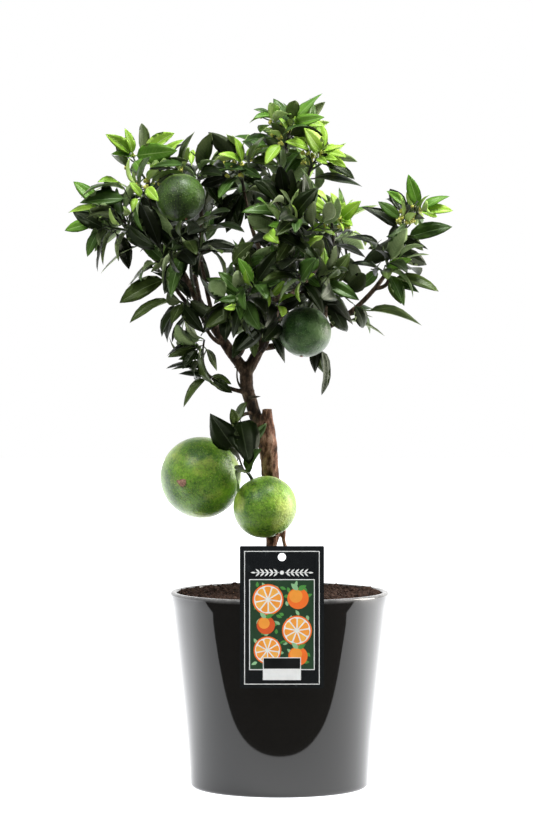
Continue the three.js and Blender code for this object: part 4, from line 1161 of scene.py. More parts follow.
def wire_object(name, paths):
    """Paths of (curve, radius, steps) as one mesh of wires."""
    points, edges, girths = [], [], []
    for curve, radius, steps in paths:
        base = len(points)
        for i in range(steps + 1):
            points.append(tuple(curve.point(i / steps) * MM))
            girths.append(radius(i / steps) * MM)
        edges += [(base + i, base + i + 1) for i in range(steps)]
    mesh = bpy.data.meshes.new(name)
    mesh.from_pydata(points, edges, [])
    mesh.attributes.new("girth", "FLOAT", "POINT").data.foreach_set("value", girths)
    return add_object(name, mesh, [])


# Three points and the radii at the ends: a thorn, and a bare twig that ends in a hook
THORNS = [
    ((-29, -3, 374.5), (-23, -6, 375), (-18.4, -7, 375.6), (2.3, 0.2)),
    ((-36, -2, 383), (-42, -4, 389), (-40.6, -5, 401), (1.2, 0.7)),
    ((-40.6, -5, 401), (-41, -5, 403.5), (-43.4, -5, 403.4), (0.7, 0.35)),
]
FLARE = 0.35  # how much a twig widens where it leaves its parent


def twig_radius(shoot):
    thin = taper(shoot["radii"])
    return lambda t: thin(t) * (1 + FLARE * max(0.0, 1 - t / 0.12) ** 2)


def twig_pieces():
    tree = sweep_tree()
    green = mottled("twig_green", srgb("1f2a14"), srgb("485827"), 130.0, 1400.0, 0.5, (0.5, 0.7), 0.3)
    brown = mottled("twig_brown", srgb("15120b"), srgb("403522"), 110.0, 1200.0, 0.6, (0.7, 0.85), 0.5)
    old = [(shoot["curve"], twig_radius(shoot), 14) for shoot in SHOOTS if shoot["order"] == 0]
    thorns = [(Bezier(*ends), taper(radii), 6) for *ends, radii in THORNS]
    fresh = [(shoot["curve"], twig_radius(shoot), 9) for shoot in SHOOTS if shoot["order"] > 0]
    fresh += [(stalk["curve"], taper(stalk["radii"]), 12) for stalk in STALKS]
    for name, paths, finish in (("twigs_brown", old + thorns, brown), ("twigs_green", fresh, green)):
        piece = run_tree(wire_object(name, paths), tree, Sides=8, Finish=finish)
        dress(piece, MASSES)


# Bark: the limbs joined, remeshed and given their relief

BARK_VOXEL = 0.75
BARK_FOOT = 181  # the bark starts in the peat
STUB_TOP = Vector(STUB[-1][0])
CUT_REACH = 4.2  # how far the sawn wood goes from the middle of the stub's top
GROOVE = dict(x=-14.2, wide=0.9, deep=1.4, foot=318, top=366, fade=14)  # down the stub's front


def sunk(station):
    """The same station, but down in the peat."""
    (x, y, _), radius = station
    return (x, y, BARK_FOOT), radius


def bark_limbs():
    for stations in ([sunk(TRUNK[0]), *TRUNK[1:]], STUB, [*SIDE_ROOT[:-1], sunk(SIDE_ROOT[-1])]):
        spline = Spline(stations)
        yield spline, spline.radius, 18, 60
    for name, limb in LIMBS.items():
        if name != "trunk":
            yield limb["curve"], limb["radius"], 12, 20


def bark_relief(point, radius):
    """How far the bark stands off its limb: long ridges, fine cracks and low knots."""
    long_way = Vector((point.x, point.y, point.z * 0.22))
    ridges = noise.fractal(long_way * 0.42, 1.0, 2.0, 3)
    cracks = abs(noise.noise(long_way * 0.9)) ** 0.5
    knots = noise.noise(point * 0.09)
    raised = 0.055 * ridges - 0.05 * (1 - cracks) + 0.08 * knots
    groove = 0.0
    if point.x > -20 and point.y < 0 and GROOVE["foot"] < point.z < GROOVE["top"]:
        aside = (point.x - GROOVE["x"]) / GROOVE["wide"]
        groove = GROOVE["deep"] * math.exp(-aside * aside)
        groove *= min(1.0, (point.z - GROOVE["foot"]) / GROOVE["fade"])
    return raised * radius - groove


def girth_finder(limbs):
    """Gives, for a place, the radius of the limb that is nearest to it."""
    centres, girths = [], []
    for curve, radius, _, steps in limbs:
        centres += [curve.point(i / steps) for i in range(steps + 1)]
        girths += [radius(i / steps) for i in range(steps + 1)]
    nearest = KDTree(len(centres))
    for i, centre in enumerate(centres):
        nearest.insert(centre, i)
    nearest.balance()
    return lambda place: girths[nearest.find(place)[1]]


def raise_bark(mesh, girth_at):
    """Moves each point of the bark out or in by the relief at its place."""
    places = np.empty(len(mesh.vertices) * 3)
    normals = np.empty(len(mesh.vertices) * 3)
    mesh.vertices.foreach_get("co", places)
    mesh.vertex_normals.foreach_get("vector", normals)
    places, normals = places.reshape(-1, 3), normals.reshape(-1, 3)
    for i, place in enumerate(places):
        at = Vector(place) / MM
        places[i] = place + normals[i] * (bark_relief(at, girth_at(at)) * MM)
    mesh.vertices.foreach_set("co", places.ravel())
    mesh.update()


def bark_piece():
    limbs = list(bark_limbs())
    piece = mesh_object("bark", *joined(closed_tube(*limb) for limb in limbs))
    piece.modifiers.new("Join", "REMESH").voxel_size = BARK_VOXEL * MM
    soften = piece.modifiers.new("Soften", "SMOOTH")
    soften.factor, soften.iterations = 0.5, 5
    keep_result(piece)
    raise_bark(piece.data, girth_finder(limbs))
    piece.data.materials.append(bark_material())
    cut = mottled("cut_wood", srgb("6b4a30"), srgb("b08a60"), 240.0, 1500.0, 0.5, (0.75, 0.9), 0.4)
    piece.data.materials.append(cut)
    for face in piece.data.polygons:
        sawn = (face.center / MM - STUB_TOP).length < CUT_REACH and face.normal.z > 0.75
        face.material_index = 1 if sawn else 0
        face.use_smooth = True
    dress(piece, LIMBS)


def bark_material():
    """Pink-brown bark on the old stem, dark green-brown on the young leader and the boughs."""
    made, kit, shader = material("bark_skin")
    place = kit.add("ShaderNodeTexCoord").outputs["Object"]
    stretch = kit.add("ShaderNodeMapping", inputs={"Vector": place, "Scale": (1, 1, 0.45)}).outputs[0]
    streaks = kit.noise(stretch, 170.0, 6, 0.7)
    patches = kit.noise(place, 60.0, 3)
    grain = kit.noise(place, 1300.0, 2)
    old = kit.ramp(
        streaks,
        (0.34, srgb("1a110c")),
        (0.46, srgb("614232")),
        (0.56, srgb("ab806a")),
        (0.68, srgb("e2bda5")),
    )
    young = kit.ramp(
        streaks,
        (0.36, srgb("0b0a06")),
        (0.5, srgb("211f13")),
        (0.63, srgb("40392a")),
        (0.76, srgb("76684a")),
    )
    across, _, high = kit.add("ShaderNodeSeparateXYZ", inputs={0: place}).outputs
    slant = kit.math("SUBTRACT", kit.math("MULTIPLY", high, 0.36), across)
    wander = kit.math("ADD", slant, kit.math("MULTIPLY", patches, 0.012))
    beside = kit.ramp(wander, (0.147, grey(0)), (0.156, grey(1)))
    above = kit.ramp(high, (0.4, grey(0)), (0.44, grey(1)))
    grown = kit.math("MAXIMUM", beside, above)
    base = kit.blend(kit.math("MULTIPLY", grown, 0.85), old, young)
    mossy = kit.ramp(patches, (0.55, grey(0)), (0.68, grey(1)))
    tinted = kit.blend(kit.math("MULTIPLY", mossy, 0.45), base, srgb("3a3a2a"))
    shaded = kit.blend(kit.math("MULTIPLY", grain, 0.3), tinted, srgb("2c1e16"))
    kit.link(shaded, shader.inputs["Base Color"])
    set_sockets(shader, Roughness=0.8, Specular_IOR_Level=0.2)
    height = kit.math("ADD", streaks, kit.math("MULTIPLY", grain, 0.4))
    relief(kit, shader, height, 0.8, 0.0014)
    return made


# Fruit

FRUIT_SKINS = {
    "dark": ("0b1604", "416018", "92b04c", 0.35),
    "blue": ("0c1a08", "365a26", "84a468", 0.35),
    "pale": ("2f5a0a", "8aba2e", "dce06a", 0.65),
    "lime": ("305c0b", "90be32", "dce672", 0.5),
}
SCAR_SHARE = 0.115  # of the fruit's radius
BUTTON_WIDTH = 1.6  # of the small scab at the blossom end of the other fruit
SCAR_DIRECTION = {2: (-0.46, -0.88, -0.08)}  # the third fruit shows its scar


def frame_round(axis):
    across = perpendicular(axis)
    return across, axis.cross(across)


def fruit_shape(centre, radius, axis, rings=44, sides=72):
    """A slightly flat ball with a dimple at each end and shallow segments."""
    across, over = frame_round(axis)
    points = [centre + axis * radius * 0.93]
    for i in range(1, rings):
        polar = math.pi * i / rings
        for k in range(sides):
            angle = 2 * math.pi * k / sides
            ribs = 0.006 * math.cos(10 * angle) * math.exp(-((polar / 0.5) ** 2))
            dimple = 0.05 * math.exp(-((polar / 0.2) ** 2))
            dimple += 0.035 * math.exp(-(((math.pi - polar) / 0.16) ** 2))
            direction = across * math.cos(angle) * math.sin(polar) + over * math.sin(angle) * math.sin(polar)
            direction += axis * math.cos(polar) * 0.965
            lumps = 0.012 * noise.noise(direction * 2.2 + centre * 0.1)
            points.append(centre + direction * radius * (1 + ribs + lumps - dimple))
    points.append(centre - axis * radius * 0.93)
    return points, turned_over(shell_faces(rings - 1, sides, 0, len(points) - 1, start=1))


def pore_group():
    """Oil glands of a citrus skin: fine pits, sunk at their middles."""
    tree, kit, given, made = node_group(
        "ShaderNodeTree",
        "Oil Glands",
        [("Pits", "NodeSocketFloat", 900.0)],
        [("Pit", "NodeSocketFloat"), ("Height", "NodeSocketFloat")],
    )
    place = kit.add("ShaderNodeTexCoord").outputs["Object"]
    cells = kit.add("ShaderNodeTexVoronoi", inputs={"Vector": place, "Scale": given["Pits"]})
    pit = kit.ramp(cells.outputs["Distance"], (0.05, grey(1)), (0.3, grey(0)))
    rough = kit.noise(place, 380.0, 3)
    height = kit.math("SUBTRACT", kit.math("MULTIPLY", rough, 0.9), kit.math("MULTIPLY", pit, 0.7))
    kit.link(pit, made["Pit"])
    kit.link(height, made["Height"])
    return tree


PORES = pore_group()


def fruit_material(skin):
    dark, light, blush, wax = FRUIT_SKINS[skin]
    made, kit, shader = material(f"peel_{skin}")
    out = place_group(
        kit, MOTTLE, Dark=srgb(dark), Light=srgb(light), Patch_Scale=34.0, Grain_Scale=480.0, Grain=1.3
    )
    pores = place_group(kit, PORES, Pits=420.0)
    place = kit.add("ShaderNodeTexCoord").outputs["Object"]
    blotch = kit.ramp(kit.noise(place, 26.0, 5), (0.5, grey(0)), (0.66, grey(1)))
    warm = kit.blend(kit.math("MULTIPLY", blotch, 0.55), out["Color"], srgb(blush))
    speck = kit.blend(kit.math("MULTIPLY", pores["Pit"], 0.4), warm, srgb(blush))
    kit.link(speck, shader.inputs["Base Color"])
    set_sockets(shader, Roughness=0.46, Specular_IOR_Level=0.35, Specular_Tint=(0.85, 1.0, 0.7, 1.0))
    set_sockets(shader, Coat_Weight=wax, Coat_Roughness=0.36)
    relief(kit, shader, pores["Height"], 0.85, 0.0018)
    return made


def calyx_shape(centre, radius, axis):
    """A five-pointed green star at the stalk, with a small collar."""
    across, over = frame_round(axis)
    points, sides = [], 20
    rings = [(0.0, 0.975), (0.05, 0.965), (0.11, 0.945), (0.0, 0.9)]  # shares of the radius
    for share, height in rings:
        for k in range(sides):
            angle = 2 * math.pi * k / sides
            lobe = 1 + 0.35 * math.cos(5 * angle) if share > 0.06 else 1
            out = (across * math.cos(angle) + over * math.sin(angle)) * max(1.6, radius * share * lobe)
            points.append(centre + axis * radius * height + out)
    top = len(points)
    points += [centre + axis * radius * 0.985, centre + axis * radius * 0.89]
    return points, turned_over(shell_faces(len(rings), sides, top, top + 1))


def scar_shape(centre, radius, axis, wide):
    """A low, rough and ragged brown scab at the blossom end."""
    across, over = frame_round(axis)
    points, sides = [], 26
    rings = ((1.0, -0.8), (0.9, 0.3), (0.45, 0.6))  # share of the width, height in millimetres
    for ring, (share, height) in enumerate(rings):
        for k in range(sides):
            angle = 2 * math.pi * k / sides
            at = Vector((math.cos(angle), math.sin(angle), 0))
            ragged = 1 + 0.6 * noise.noise(at * 1.3 + UP * radius) + 0.7 * noise.noise(at * 3.7 + UP * ring)
            out = (across * math.cos(angle) + over * math.sin(angle) * 0.85) * wide * share * ragged
            points.append(centre + axis * (radius * 0.955 + height) + out)
    top = len(points)
    points += [centre + axis * (radius * 0.955 + 0.5), centre + axis * (radius * 0.955 - 0.8)]
    return points, shell_faces(len(rings), sides, top + 1, top)


def foliage_piece(name, shapes, finish):
    dress(mesh_object(name, *joined(shapes), [finish]), MASSES)


def fruit_pieces():
    places = [(Vector(at), radius, Vector(stalk).normalized()) for _, at, radius, stalk, _, _ in FRUIT]
    for skin in FRUIT_SKINS:
        balls = [fruit_shape(*place) for place, fruit in zip(places, FRUIT) if fruit[-1] == skin]
        foliage_piece(f"fruit_{skin}", balls, fruit_material(skin))
    calyx = mottled("calyx_green", srgb("33421c"), srgb("5f6f38"), 160.0, 1500.0, 0.6, (0.6, 0.8), 0.4)
    foliage_piece("fruit_calyxes", [calyx_shape(*place) for place in places], calyx)
    scar = mottled("scar_brown", srgb("74503e"), srgb("c89a84"), 700.0, 2500.0, 0.8, (0.8, 0.95), 0.6)
    scabs = []
    for i, (centre, radius, axis) in enumerate(places):
        if i in SCAR_DIRECTION:
            shown = Vector(SCAR_DIRECTION[i]).normalized()
            scabs.append(scar_shape(centre, radius * 1.02, shown, SCAR_SHARE * radius))
        else:
            scabs.append(scar_shape(centre, radius, -axis, BUTTON_WIDTH))
    foliage_piece("fruit_scars", scabs, scar)


BUD_RADII = (2.0, 1.6, 1.3)
BUDDING = 0.25  # the share of young leaves above which a shoot has buds


def bud_piece():
    """Round yellow flower buds in threes at the tips of young shoots."""
    finish = mottled("bud_yellow", srgb("879a3a"), srgb("ece06a"), 300.0, 1500.0, 0.5, (0.5, 0.6), 0.2)
    buds = []
    for shoot in SHOOTS:
        if shoot["order"] and shoot["young"] > BUDDING:
            tip, along = shoot["curve"].point(1), shoot["curve"].tangent(1)
            for k, radius in enumerate(BUD_RADII):
                aside = perpendicular(along, k * GOLDEN) * radius * 0.8
                buds.append(fruit_shape(tip + along * k + aside, radius, along, 6, 9))
    foliage_piece("flower_buds", buds, finish)


# Pot and peat

POT = dict(height=188, top=105, base=85.5, wall=6.5, floor=9, flare=1.12, foot_round=4, lip_round=2.6)
POT_SIDES = 144


def pot_radius(z):
    return mix(POT["base"], POT["top"], (z / POT["height"]) ** POT["flare"])


def bent(cx, cz, radius, start, end, count):
    angles = [mix(start, end, i / count) for i in range(count + 1)]
    return [(cx + radius * math.cos(a), cz + radius * math.sin(a)) for a in angles]


def lathe(profile, sides):
    """A closed ring of rings from a profile of (radius, height) that starts and ends on the axis."""
    points = [Vector((0, 0, profile[0][1]))]
    for r, z in profile[1:-1]:
        points += [
            Vector((r * math.cos(2 * math.pi * k / sides), r * math.sin(2 * math.pi * k / sides), z))
            for k in range(sides)
        ]
    points.append(Vector((0, 0, profile[-1][1])))
    faces, last, rings = [], len(points) - 1, len(profile) - 2
    for k in range(sides):
        n = (k + 1) % sides
        faces.append((0, 1 + n, 1 + k))
        for i in range(rings - 1):
            low, high = 1 + i * sides, 1 + (i + 1) * sides
            faces.append((low + k, low + n, high + n, high + k))
        top = 1 + (rings - 1) * sides
        faces.append((last, top + k, top + n))
    return points, faces


def pot_profile():
    height, wall, floor = POT["height"], POT["wall"], POT["floor"]
    foot, lip = POT["foot_round"], POT["lip_round"]
    outline = [(0, 0), *bent(pot_radius(foot) - foot, foot, foot, -math.pi / 2, 0, 8)]
    outline += [(pot_radius(z), z) for z in np.linspace(foot, height - lip, 18)[1:-1]]
    outline += bent(pot_radius(height) - lip, height - lip, lip, 0, math.pi / 2, 7)
    outline += bent(pot_radius(height) - wall + lip, height - lip, lip, math.pi / 2, math.pi, 7)
    outline += [(pot_radius(z) - wall, z) for z in np.linspace(height - lip, floor, 8)[1:]]
    return [*outline, (0, floor)]


def glaze_material():
    """A black glaze, very smooth, with a slow waviness, and a pale, rougher band round the lip: dust, and the lip's
    painted highlight.
    """
    made, kit, shader = material("black_glaze")
    place = kit.add("ShaderNodeTexCoord").outputs["Object"]
    high = kit.add("ShaderNodeSeparateXYZ", inputs={0: place}).outputs[2]
    # Pale, rougher band round the lip: partly dust, partly painted highlight of the lip's top
    lip = kit.ramp(high, (0.1836, grey(0)), (0.1852, grey(1)))
    dust_and_highlight_patches = kit.ramp(kit.noise(place, 90.0, 3), (0.35, grey(0.45)), (0.6, grey(1)))
    lip_dust_and_highlight = kit.math("MULTIPLY", lip, dust_and_highlight_patches)
    shade = kit.blend(kit.math("MULTIPLY", lip_dust_and_highlight, 0.75), srgb("121110"), srgb("8c8a88"))
    kit.link(shade, shader.inputs["Base Color"])
    kit.link(kit.ramp(lip_dust_and_highlight, (0.0, grey(0.05)), (1.0, grey(0.3))), shader.inputs["Roughness"])
    set_sockets(shader, Specular_IOR_Level=0.62)
    relief(kit, shader, kit.noise(place, 14.0, 1), 0.06, 0.004)
    return made


def pot_piece():
    points, faces = lathe(pot_profile(), POT_SIDES)
    dress(mesh_object("pot_glazed", points, faces, [glaze_material()]), ["pot"])


SOIL_RINGS = 46
SOIL_SIDES = 150
MOUND_RADIUS = 60
BED_DEPTH = 14


def soil_edge(z):
    """The soil's side, even with the pot's inner wall."""
    low, high = POT["floor"], POT["height"] - POT["lip_round"]
    ends = pot_radius(low) - POT["wall"], pot_radius(POT["height"]) - POT["wall"]
    return mix(*ends, (z - low) / (high - low)) - 0.6


def soil_bed():
    """A flat-bottomed disc of peat whose top is lumpy and falls a little towards the wall."""
    rim = soil_edge(SOIL_LEVEL - SOIL_DROP)
    top, foot = [], SOIL_LEVEL - BED_DEPTH
    for i in range(SOIL_RINGS, 0, -1):
        r = rim * i / SOIL_RINGS
        fall = SOIL_DROP * clamp((r - MOUND_RADIUS) / (rim - MOUND_RADIUS))
        top.append((r, SOIL_LEVEL - fall))
    points, faces = lathe([(0, foot), (soil_edge(foot), foot), *top, (0, SOIL_LEVEL)], SOIL_SIDES)
    for p in points:
        inside = math.hypot(p.x, p.y) < rim - 0.5 and p.z > foot + 1
        if inside:
            p.z += 1.5 * noise.fractal(p * 0.09, 1.0, 2.0, 3) + 0.8 * noise.noise(p * 0.45)
    return points, faces


def scatter_tree(name, build_grain):
    """Scatters small grains over a surface, turned and sized at random, as real geometry."""
    numbers = [(title, "NodeSocketFloat") for title in ("Number Density", "Smallest", "Largest", "Lean")]
    tree, kit, given, made = node_group(
        "GeometryNodeTree",
        name,
        [("Bed", "NodeSocketGeometry"), *numbers, ("Finish", "NodeSocketMaterial")],
        [("Grains", "NodeSocketGeometry")],
    )
    normal = kit.add("GeometryNodeInputNormal").outputs[0]
    up = kit.add("ShaderNodeSeparateXYZ", inputs={0: normal}).outputs[2]
    facing_up = kit.math("GREATER_THAN", up, 0.4)
    spots = kit.add(
        "GeometryNodeDistributePointsOnFaces",
        inputs={"Mesh": given["Bed"], "Selection": facing_up, "Density": given["Number Density"], "Seed": 7},
    ).outputs[0]
    turn = kit.add("FunctionNodeRandomValue", data_type="FLOAT_VECTOR", inputs={"Seed": 3}).outputs[0]
    most = {0: given["Lean"], 1: given["Lean"], 2: math.tau}
    lean = kit.add("ShaderNodeCombineXYZ", inputs=most).outputs[0]
    angles = kit.vector_math("MULTIPLY", {0: turn, 1: lean})
    sizes = {"Min": given["Smallest"], "Max": given["Largest"], "Seed": 5}
    random_size = kit.add("FunctionNodeRandomValue", data_type="FLOAT")
    for i, socket in enumerate(random_size.inputs):
        if socket.enabled and socket.name in sizes:
            kit.feed(random_size, i, sizes[socket.name])
    size = next(socket for socket in random_size.outputs if socket.enabled)
    grains = {"Points": spots, "Instance": build_grain(kit), "Rotation": angles, "Scale": size}
    placed = kit.add("GeometryNodeInstanceOnPoints", inputs=grains).outputs[0]
    whole = kit.add("GeometryNodeRealizeInstances", inputs={0: placed}).outputs[0]
    wobble = kit.add("ShaderNodeTexNoise", inputs={"Scale": 380.0, "Detail": 1.0}).outputs["Color"]
    centred = kit.vector_math("SUBTRACT", {0: wobble, 1: (0.5, 0.5, 0.5)})
    small = kit.vector_math("SCALE", {0: centred, 3: 0.0016})
    ragged = kit.add("GeometryNodeSetPosition", inputs={"Geometry": whole, "Offset": small}).outputs[0]
    finished = kit.add("GeometryNodeSetMaterial", inputs={"Geometry": ragged, "Material": given["Finish"]})
    kit.link(finished.outputs[0], made["Grains"])
    return tree


def crumb_grain(kit):
    return kit.add("GeometryNodeMeshIcoSphere", inputs={"Radius": 1.0, "Subdivisions": 1}).outputs[0]


def fibre_grain(kit):
    rod = {"Vertices": 4, "Side Segments": 3, "Radius": 0.045, "Depth": 1.0}
    stick = kit.add("GeometryNodeMeshCylinder", inputs=rod).outputs[0]
    laid = {"Geometry": stick, "Rotation": (0, math.radians(84), 0)}
    return kit.add("GeometryNodeTransform", inputs=laid).outputs[0]


def soil_pieces():
    dull = dict(Specular_IOR_Level=0.08)
    peat = mottled("peat", srgb("0b0705"), srgb("2a1c15"), 260.0, 1500.0, 0.9, (0.85, 0.98), 0.9, **dull)
    brown = srgb("080504"), srgb("564238")
    crumb = mottled("peat_crumb", *brown, 240.0, 1800.0, 1.2, (0.85, 0.98), 0.8, **dull)
    fibre = mottled("peat_fibre", srgb("5c4330"), srgb("a0805c"), 120.0, 1500.0, 0.6, (0.8, 0.95), 0.4)
    bed_points, bed_faces = soil_bed()
    dress(mesh_object("soil_bed", bed_points, bed_faces, [peat]), ["soil"])
    kinds = (  # name, grain, number a square metre, smallest and largest in metres, lean, finish
        ("soil_crumbs", crumb_grain, 95000.0, 0.0008, 0.003, math.tau, crumb),
        ("soil_clods", crumb_grain, 9000.0, 0.0025, 0.0045, math.tau, crumb),
        ("soil_fibres", fibre_grain, 14000.0, 0.003, 0.009, 0.5, fibre),
    )
    for name, grain, density, smallest, largest, lean, finish in kinds:
        piece = mesh_object(name, bed_points, bed_faces)
        values = dict(Number_Density=density, Smallest=smallest, Largest=largest, Lean=lean, Finish=finish)
        run_tree(piece, scatter_tree(name.replace("_", " ").title(), grain), **values)
        keep_inside(piece)
        dress(piece, ["soil"])


def keep_inside(piece):
    """Draws grains near the wall back from it."""
    limit = (soil_edge(SOIL_LEVEL) - 0.4) * MM
    for vertex in piece.data.vertices:
        out = math.hypot(vertex.co.x, vertex.co.y)
        if out > limit:
            vertex.co.x *= limit / out
            vertex.co.y *= limit / out


# The card: a black plate with a tongue over the rim, and flat print that stands 0.05 mm off it

CARD = dict(width=78.6, height=133, thick=0.8, foot=106.4, middle=1.9, hole=3.8, hole_drop=10.3, corner=1.2)
PRINT_STEP = 0.05
CARD_BACK = -POT["top"] - GAP
CARD_FRONT = CARD_BACK - CARD["thick"]
INKS = {
    "white": ("e9e9e6", 0.35),
    "black": ("0d0f10", 0.3),
    "leafy": ("4d9440", 0.35),
    "sprig": ("8fbf8c", 0.35),
    "shade": ("1f4025", 0.4),
    "orange": ("f4701e", 0.35),
    "rind": ("f39a33", 0.35),
    "pulp": ("f7b04a", 0.35),
    "deep": ("d9531c", 0.35),
}


def ring_points(x, z, radius, count):
    angles = [2 * math.pi * k / count for k in range(count)]
    return [(x + radius * math.cos(a), z + radius * math.sin(a)) for a in angles]


class Print:
    """Flat shapes in the card's own plane, each ink a piece, each layer a step nearer."""

    def __init__(self):
        self.inks = {ink: ([], []) for ink in INKS}

    def shape(self, ink, outline, layer):
        points, faces = self.inks[ink]
        base, count = len(points), len(outline)
        near = CARD_FRONT - PRINT_STEP * layer
        far = CARD_FRONT + 0.1
        for y in (near, far):
            points += [Vector((CARD["middle"] + x, y, CARD["foot"] + z)) for x, z in outline]
        faces.append(tuple(base + k for k in range(count)))
        faces.append(tuple(base + count + k for k in reversed(range(count))))
        for k in range(count):
            n = (k + 1) % count
            faces.append((base + n, base + k, base + count + k, base + count + n))

    def box(self, ink, x0, z0, x1, z1, layer):
        self.shape(ink, [(x0, z0), (x1, z0), (x1, z1), (x0, z1)], layer)

    def frame(self, ink, x0, z0, x1, z1, wide, layer):
        self.box(ink, x0, z0, x1, z0 + wide, layer)
        self.box(ink, x0, z1 - wide, x1, z1, layer)
        self.box(ink, x0, z0 + wide, x0 + wide, z1 - wide, layer)
        self.box(ink, x1 - wide, z0 + wide, x1, z1 - wide, layer)

    def leaf(self, ink, x, z, length, wide, angle, layer):
        """A pointed leaf with its root at x, z."""
        outline = []
        for side in (1, -1):
            steps = [k / 8 for k in range(9)]
            for t in steps[:-1] if side > 0 else reversed(steps[1:]):
                aside = side * wide * math.sin(math.pi * t**0.8)
                along = length * t
                right = along * math.cos(angle) - aside * math.sin(angle)
                up = along * math.sin(angle) + aside * math.cos(angle)
                outline.append((x + right, z + up))
        self.shape(ink, outline[::-1], layer)

    def slice(self, x, z, radius, turn, layer):
        """A cut fruit: peel, pith and nine segments."""
        self.shape("orange", ring_points(x, z, radius, 40), layer)
        self.shape("white", ring_points(x, z, radius * 0.9, 40), layer + 1)
        for k in range(9):
            middle = turn + 2 * math.pi * k / 9
            half = math.pi / 9 - 0.06
            wedge = [(x + radius * 0.12 * math.cos(middle), z + radius * 0.12 * math.sin(middle))]
            for share in (-1, -0.5, 0, 0.5, 1):
                reach = radius * (0.84 if abs(share) < 1 else 0.78)
                angle = middle + share * half
                wedge.append((x + reach * math.cos(angle), z + reach * math.sin(angle)))
            self.shape("pulp" if k % 2 else "rind", wedge, layer + 2)


def print_fruit(ink):
    """Cut and whole fruit on a ground of leaves, inside a white line."""
    left, right, low, top = -29.8, 29.8, 17.8, 101.2
    ink.box("white", left - 0.8, low - 0.8, right + 0.8, top + 0.8, 1)
    ink.box("shade", left, low, right, top, 2)
    draw = seeded(77)
    reach = 6.6
    for row in range(9):
        for column in range(7):
            x = mix(left + reach, right - reach, (column + 0.5 * (row % 2)) / 6.5)
            z = mix(low + reach, top - reach, row / 8)
            tint = "leafy" if draw() < 0.55 else "sprig"
            ink.leaf(tint, x, z, reach * mix(0.7, 1, draw()), 1.5, mix(0, math.tau, draw()), 3)
    ink.slice(-13, 83, 14.5, 0.2, 4)
    ink.slice(14, 54, 14, 0.5, 4)
    ink.slice(-13.5, 35.5, 13, 0.9, 4)
    for x, z, radius, shade in ((15, 84, 10, "orange"), (-15, 59, 8.5, "deep"), (15, 30, 9, "orange")):
        ink.shape(shade, ring_points(x, z, radius, 36), 4)
        ink.shape("rind", ring_points(x - radius * 0.2, z + radius * 0.22, radius * 0.62, 30), 5)
        ink.leaf("leafy", x, z + radius * 0.8, radius * 0.9, radius * 0.24, 0.5, 6)
        ink.leaf("sprig", x, z + radius * 0.8, radius * 0.9, radius * 0.24, 2.4, 6)


def print_sprigs(ink):
    """Where the title would be: a dot between two sprigs of leaflets."""
    z = 108.2
    for side in (-1, 1):
        outward = math.pi / 2 - side * math.pi / 2
        for k in range(5):
            for slant in (1, -1):
                ink.leaf("white", side * (4 + 4.2 * k), z, 5.2, 0.8, outward + side * slant * 0.75, 1)
        ink.leaf("white", side * 24.5, z, 5, 0.8, outward, 1)
        near, far = sorted((side * 3, side * 25))
        ink.box("white", near, z - 0.25, far, z + 0.25, 1)
    ink.shape("white", ring_points(0, z, 1.9, 24), 1)


def print_label(ink):
    """A bare label, black above and white below."""
    ink.frame("white", -17.8, 7.6, 17.8, 28.8, 0.7, 7)
    ink.box("black", -17.1, 18.2, 17.1, 28.1, 7)
    ink.box("white", -17.1, 8.3, 17.1, 18.2, 7)


def card_print():
    """All the print, one piece for each ink."""
    ink = Print()
    ink.frame("white", -35.2, 3.4, 35.2, CARD["height"] - 4.6, 0.7, 1)
    print_fruit(ink)
    print_sprigs(ink)
    print_label(ink)
    for name, (points, faces) in ink.inks.items():
        code, rough = INKS[name]
        colour = srgb(code)
        paler = tuple(min(1.0, 1.12 * c + 0.004) for c in colour[:3]) + (1.0,)
        finish = mottled(f"ink_{name}", colour, paler, 90.0, 1800.0, 0.3, (rough, rough + 0.08), 0.05)
        piece = mesh_object(f"card_{name}", points, faces, [finish], smooth=False)
        dress(piece, ["card"])


def card_outline():
    half, high, corner = CARD["width"] / 2, CARD["height"], CARD["corner"]
    outline = []
    for cx, cz, start in (
        (half - corner, corner, -math.pi / 2),
        (half - corner, high - corner, 0),
        (-half + corner, high - corner, math.pi / 2),
        (-half + corner, corner, math.pi),
    ):
        outline += bent(cx, cz, corner, start, start + math.pi / 2, 5)
    return outline


def card_material():
    """Black print, scuffed here and there."""
    made, kit, shader = material("card_black")
    place = kit.add("ShaderNodeTexCoord").outputs["Object"]
    scuffs = kit.ramp(kit.noise(place, 120.0, 5, 0.7), (0.55, grey(0)), (0.8, grey(1.25)))
    shade = kit.blend(kit.math("MULTIPLY", scuffs, 0.35), srgb("16191b"), srgb("2e3436"))
    kit.link(shade, shader.inputs["Base Color"])
    kit.link(kit.ramp(scuffs, (0.0, grey(0.16)), (1.0, grey(0.3))), shader.inputs["Roughness"])
    relief(kit, shader, kit.noise(place, 30.0, 1), 0.08, 0.004)
    return made


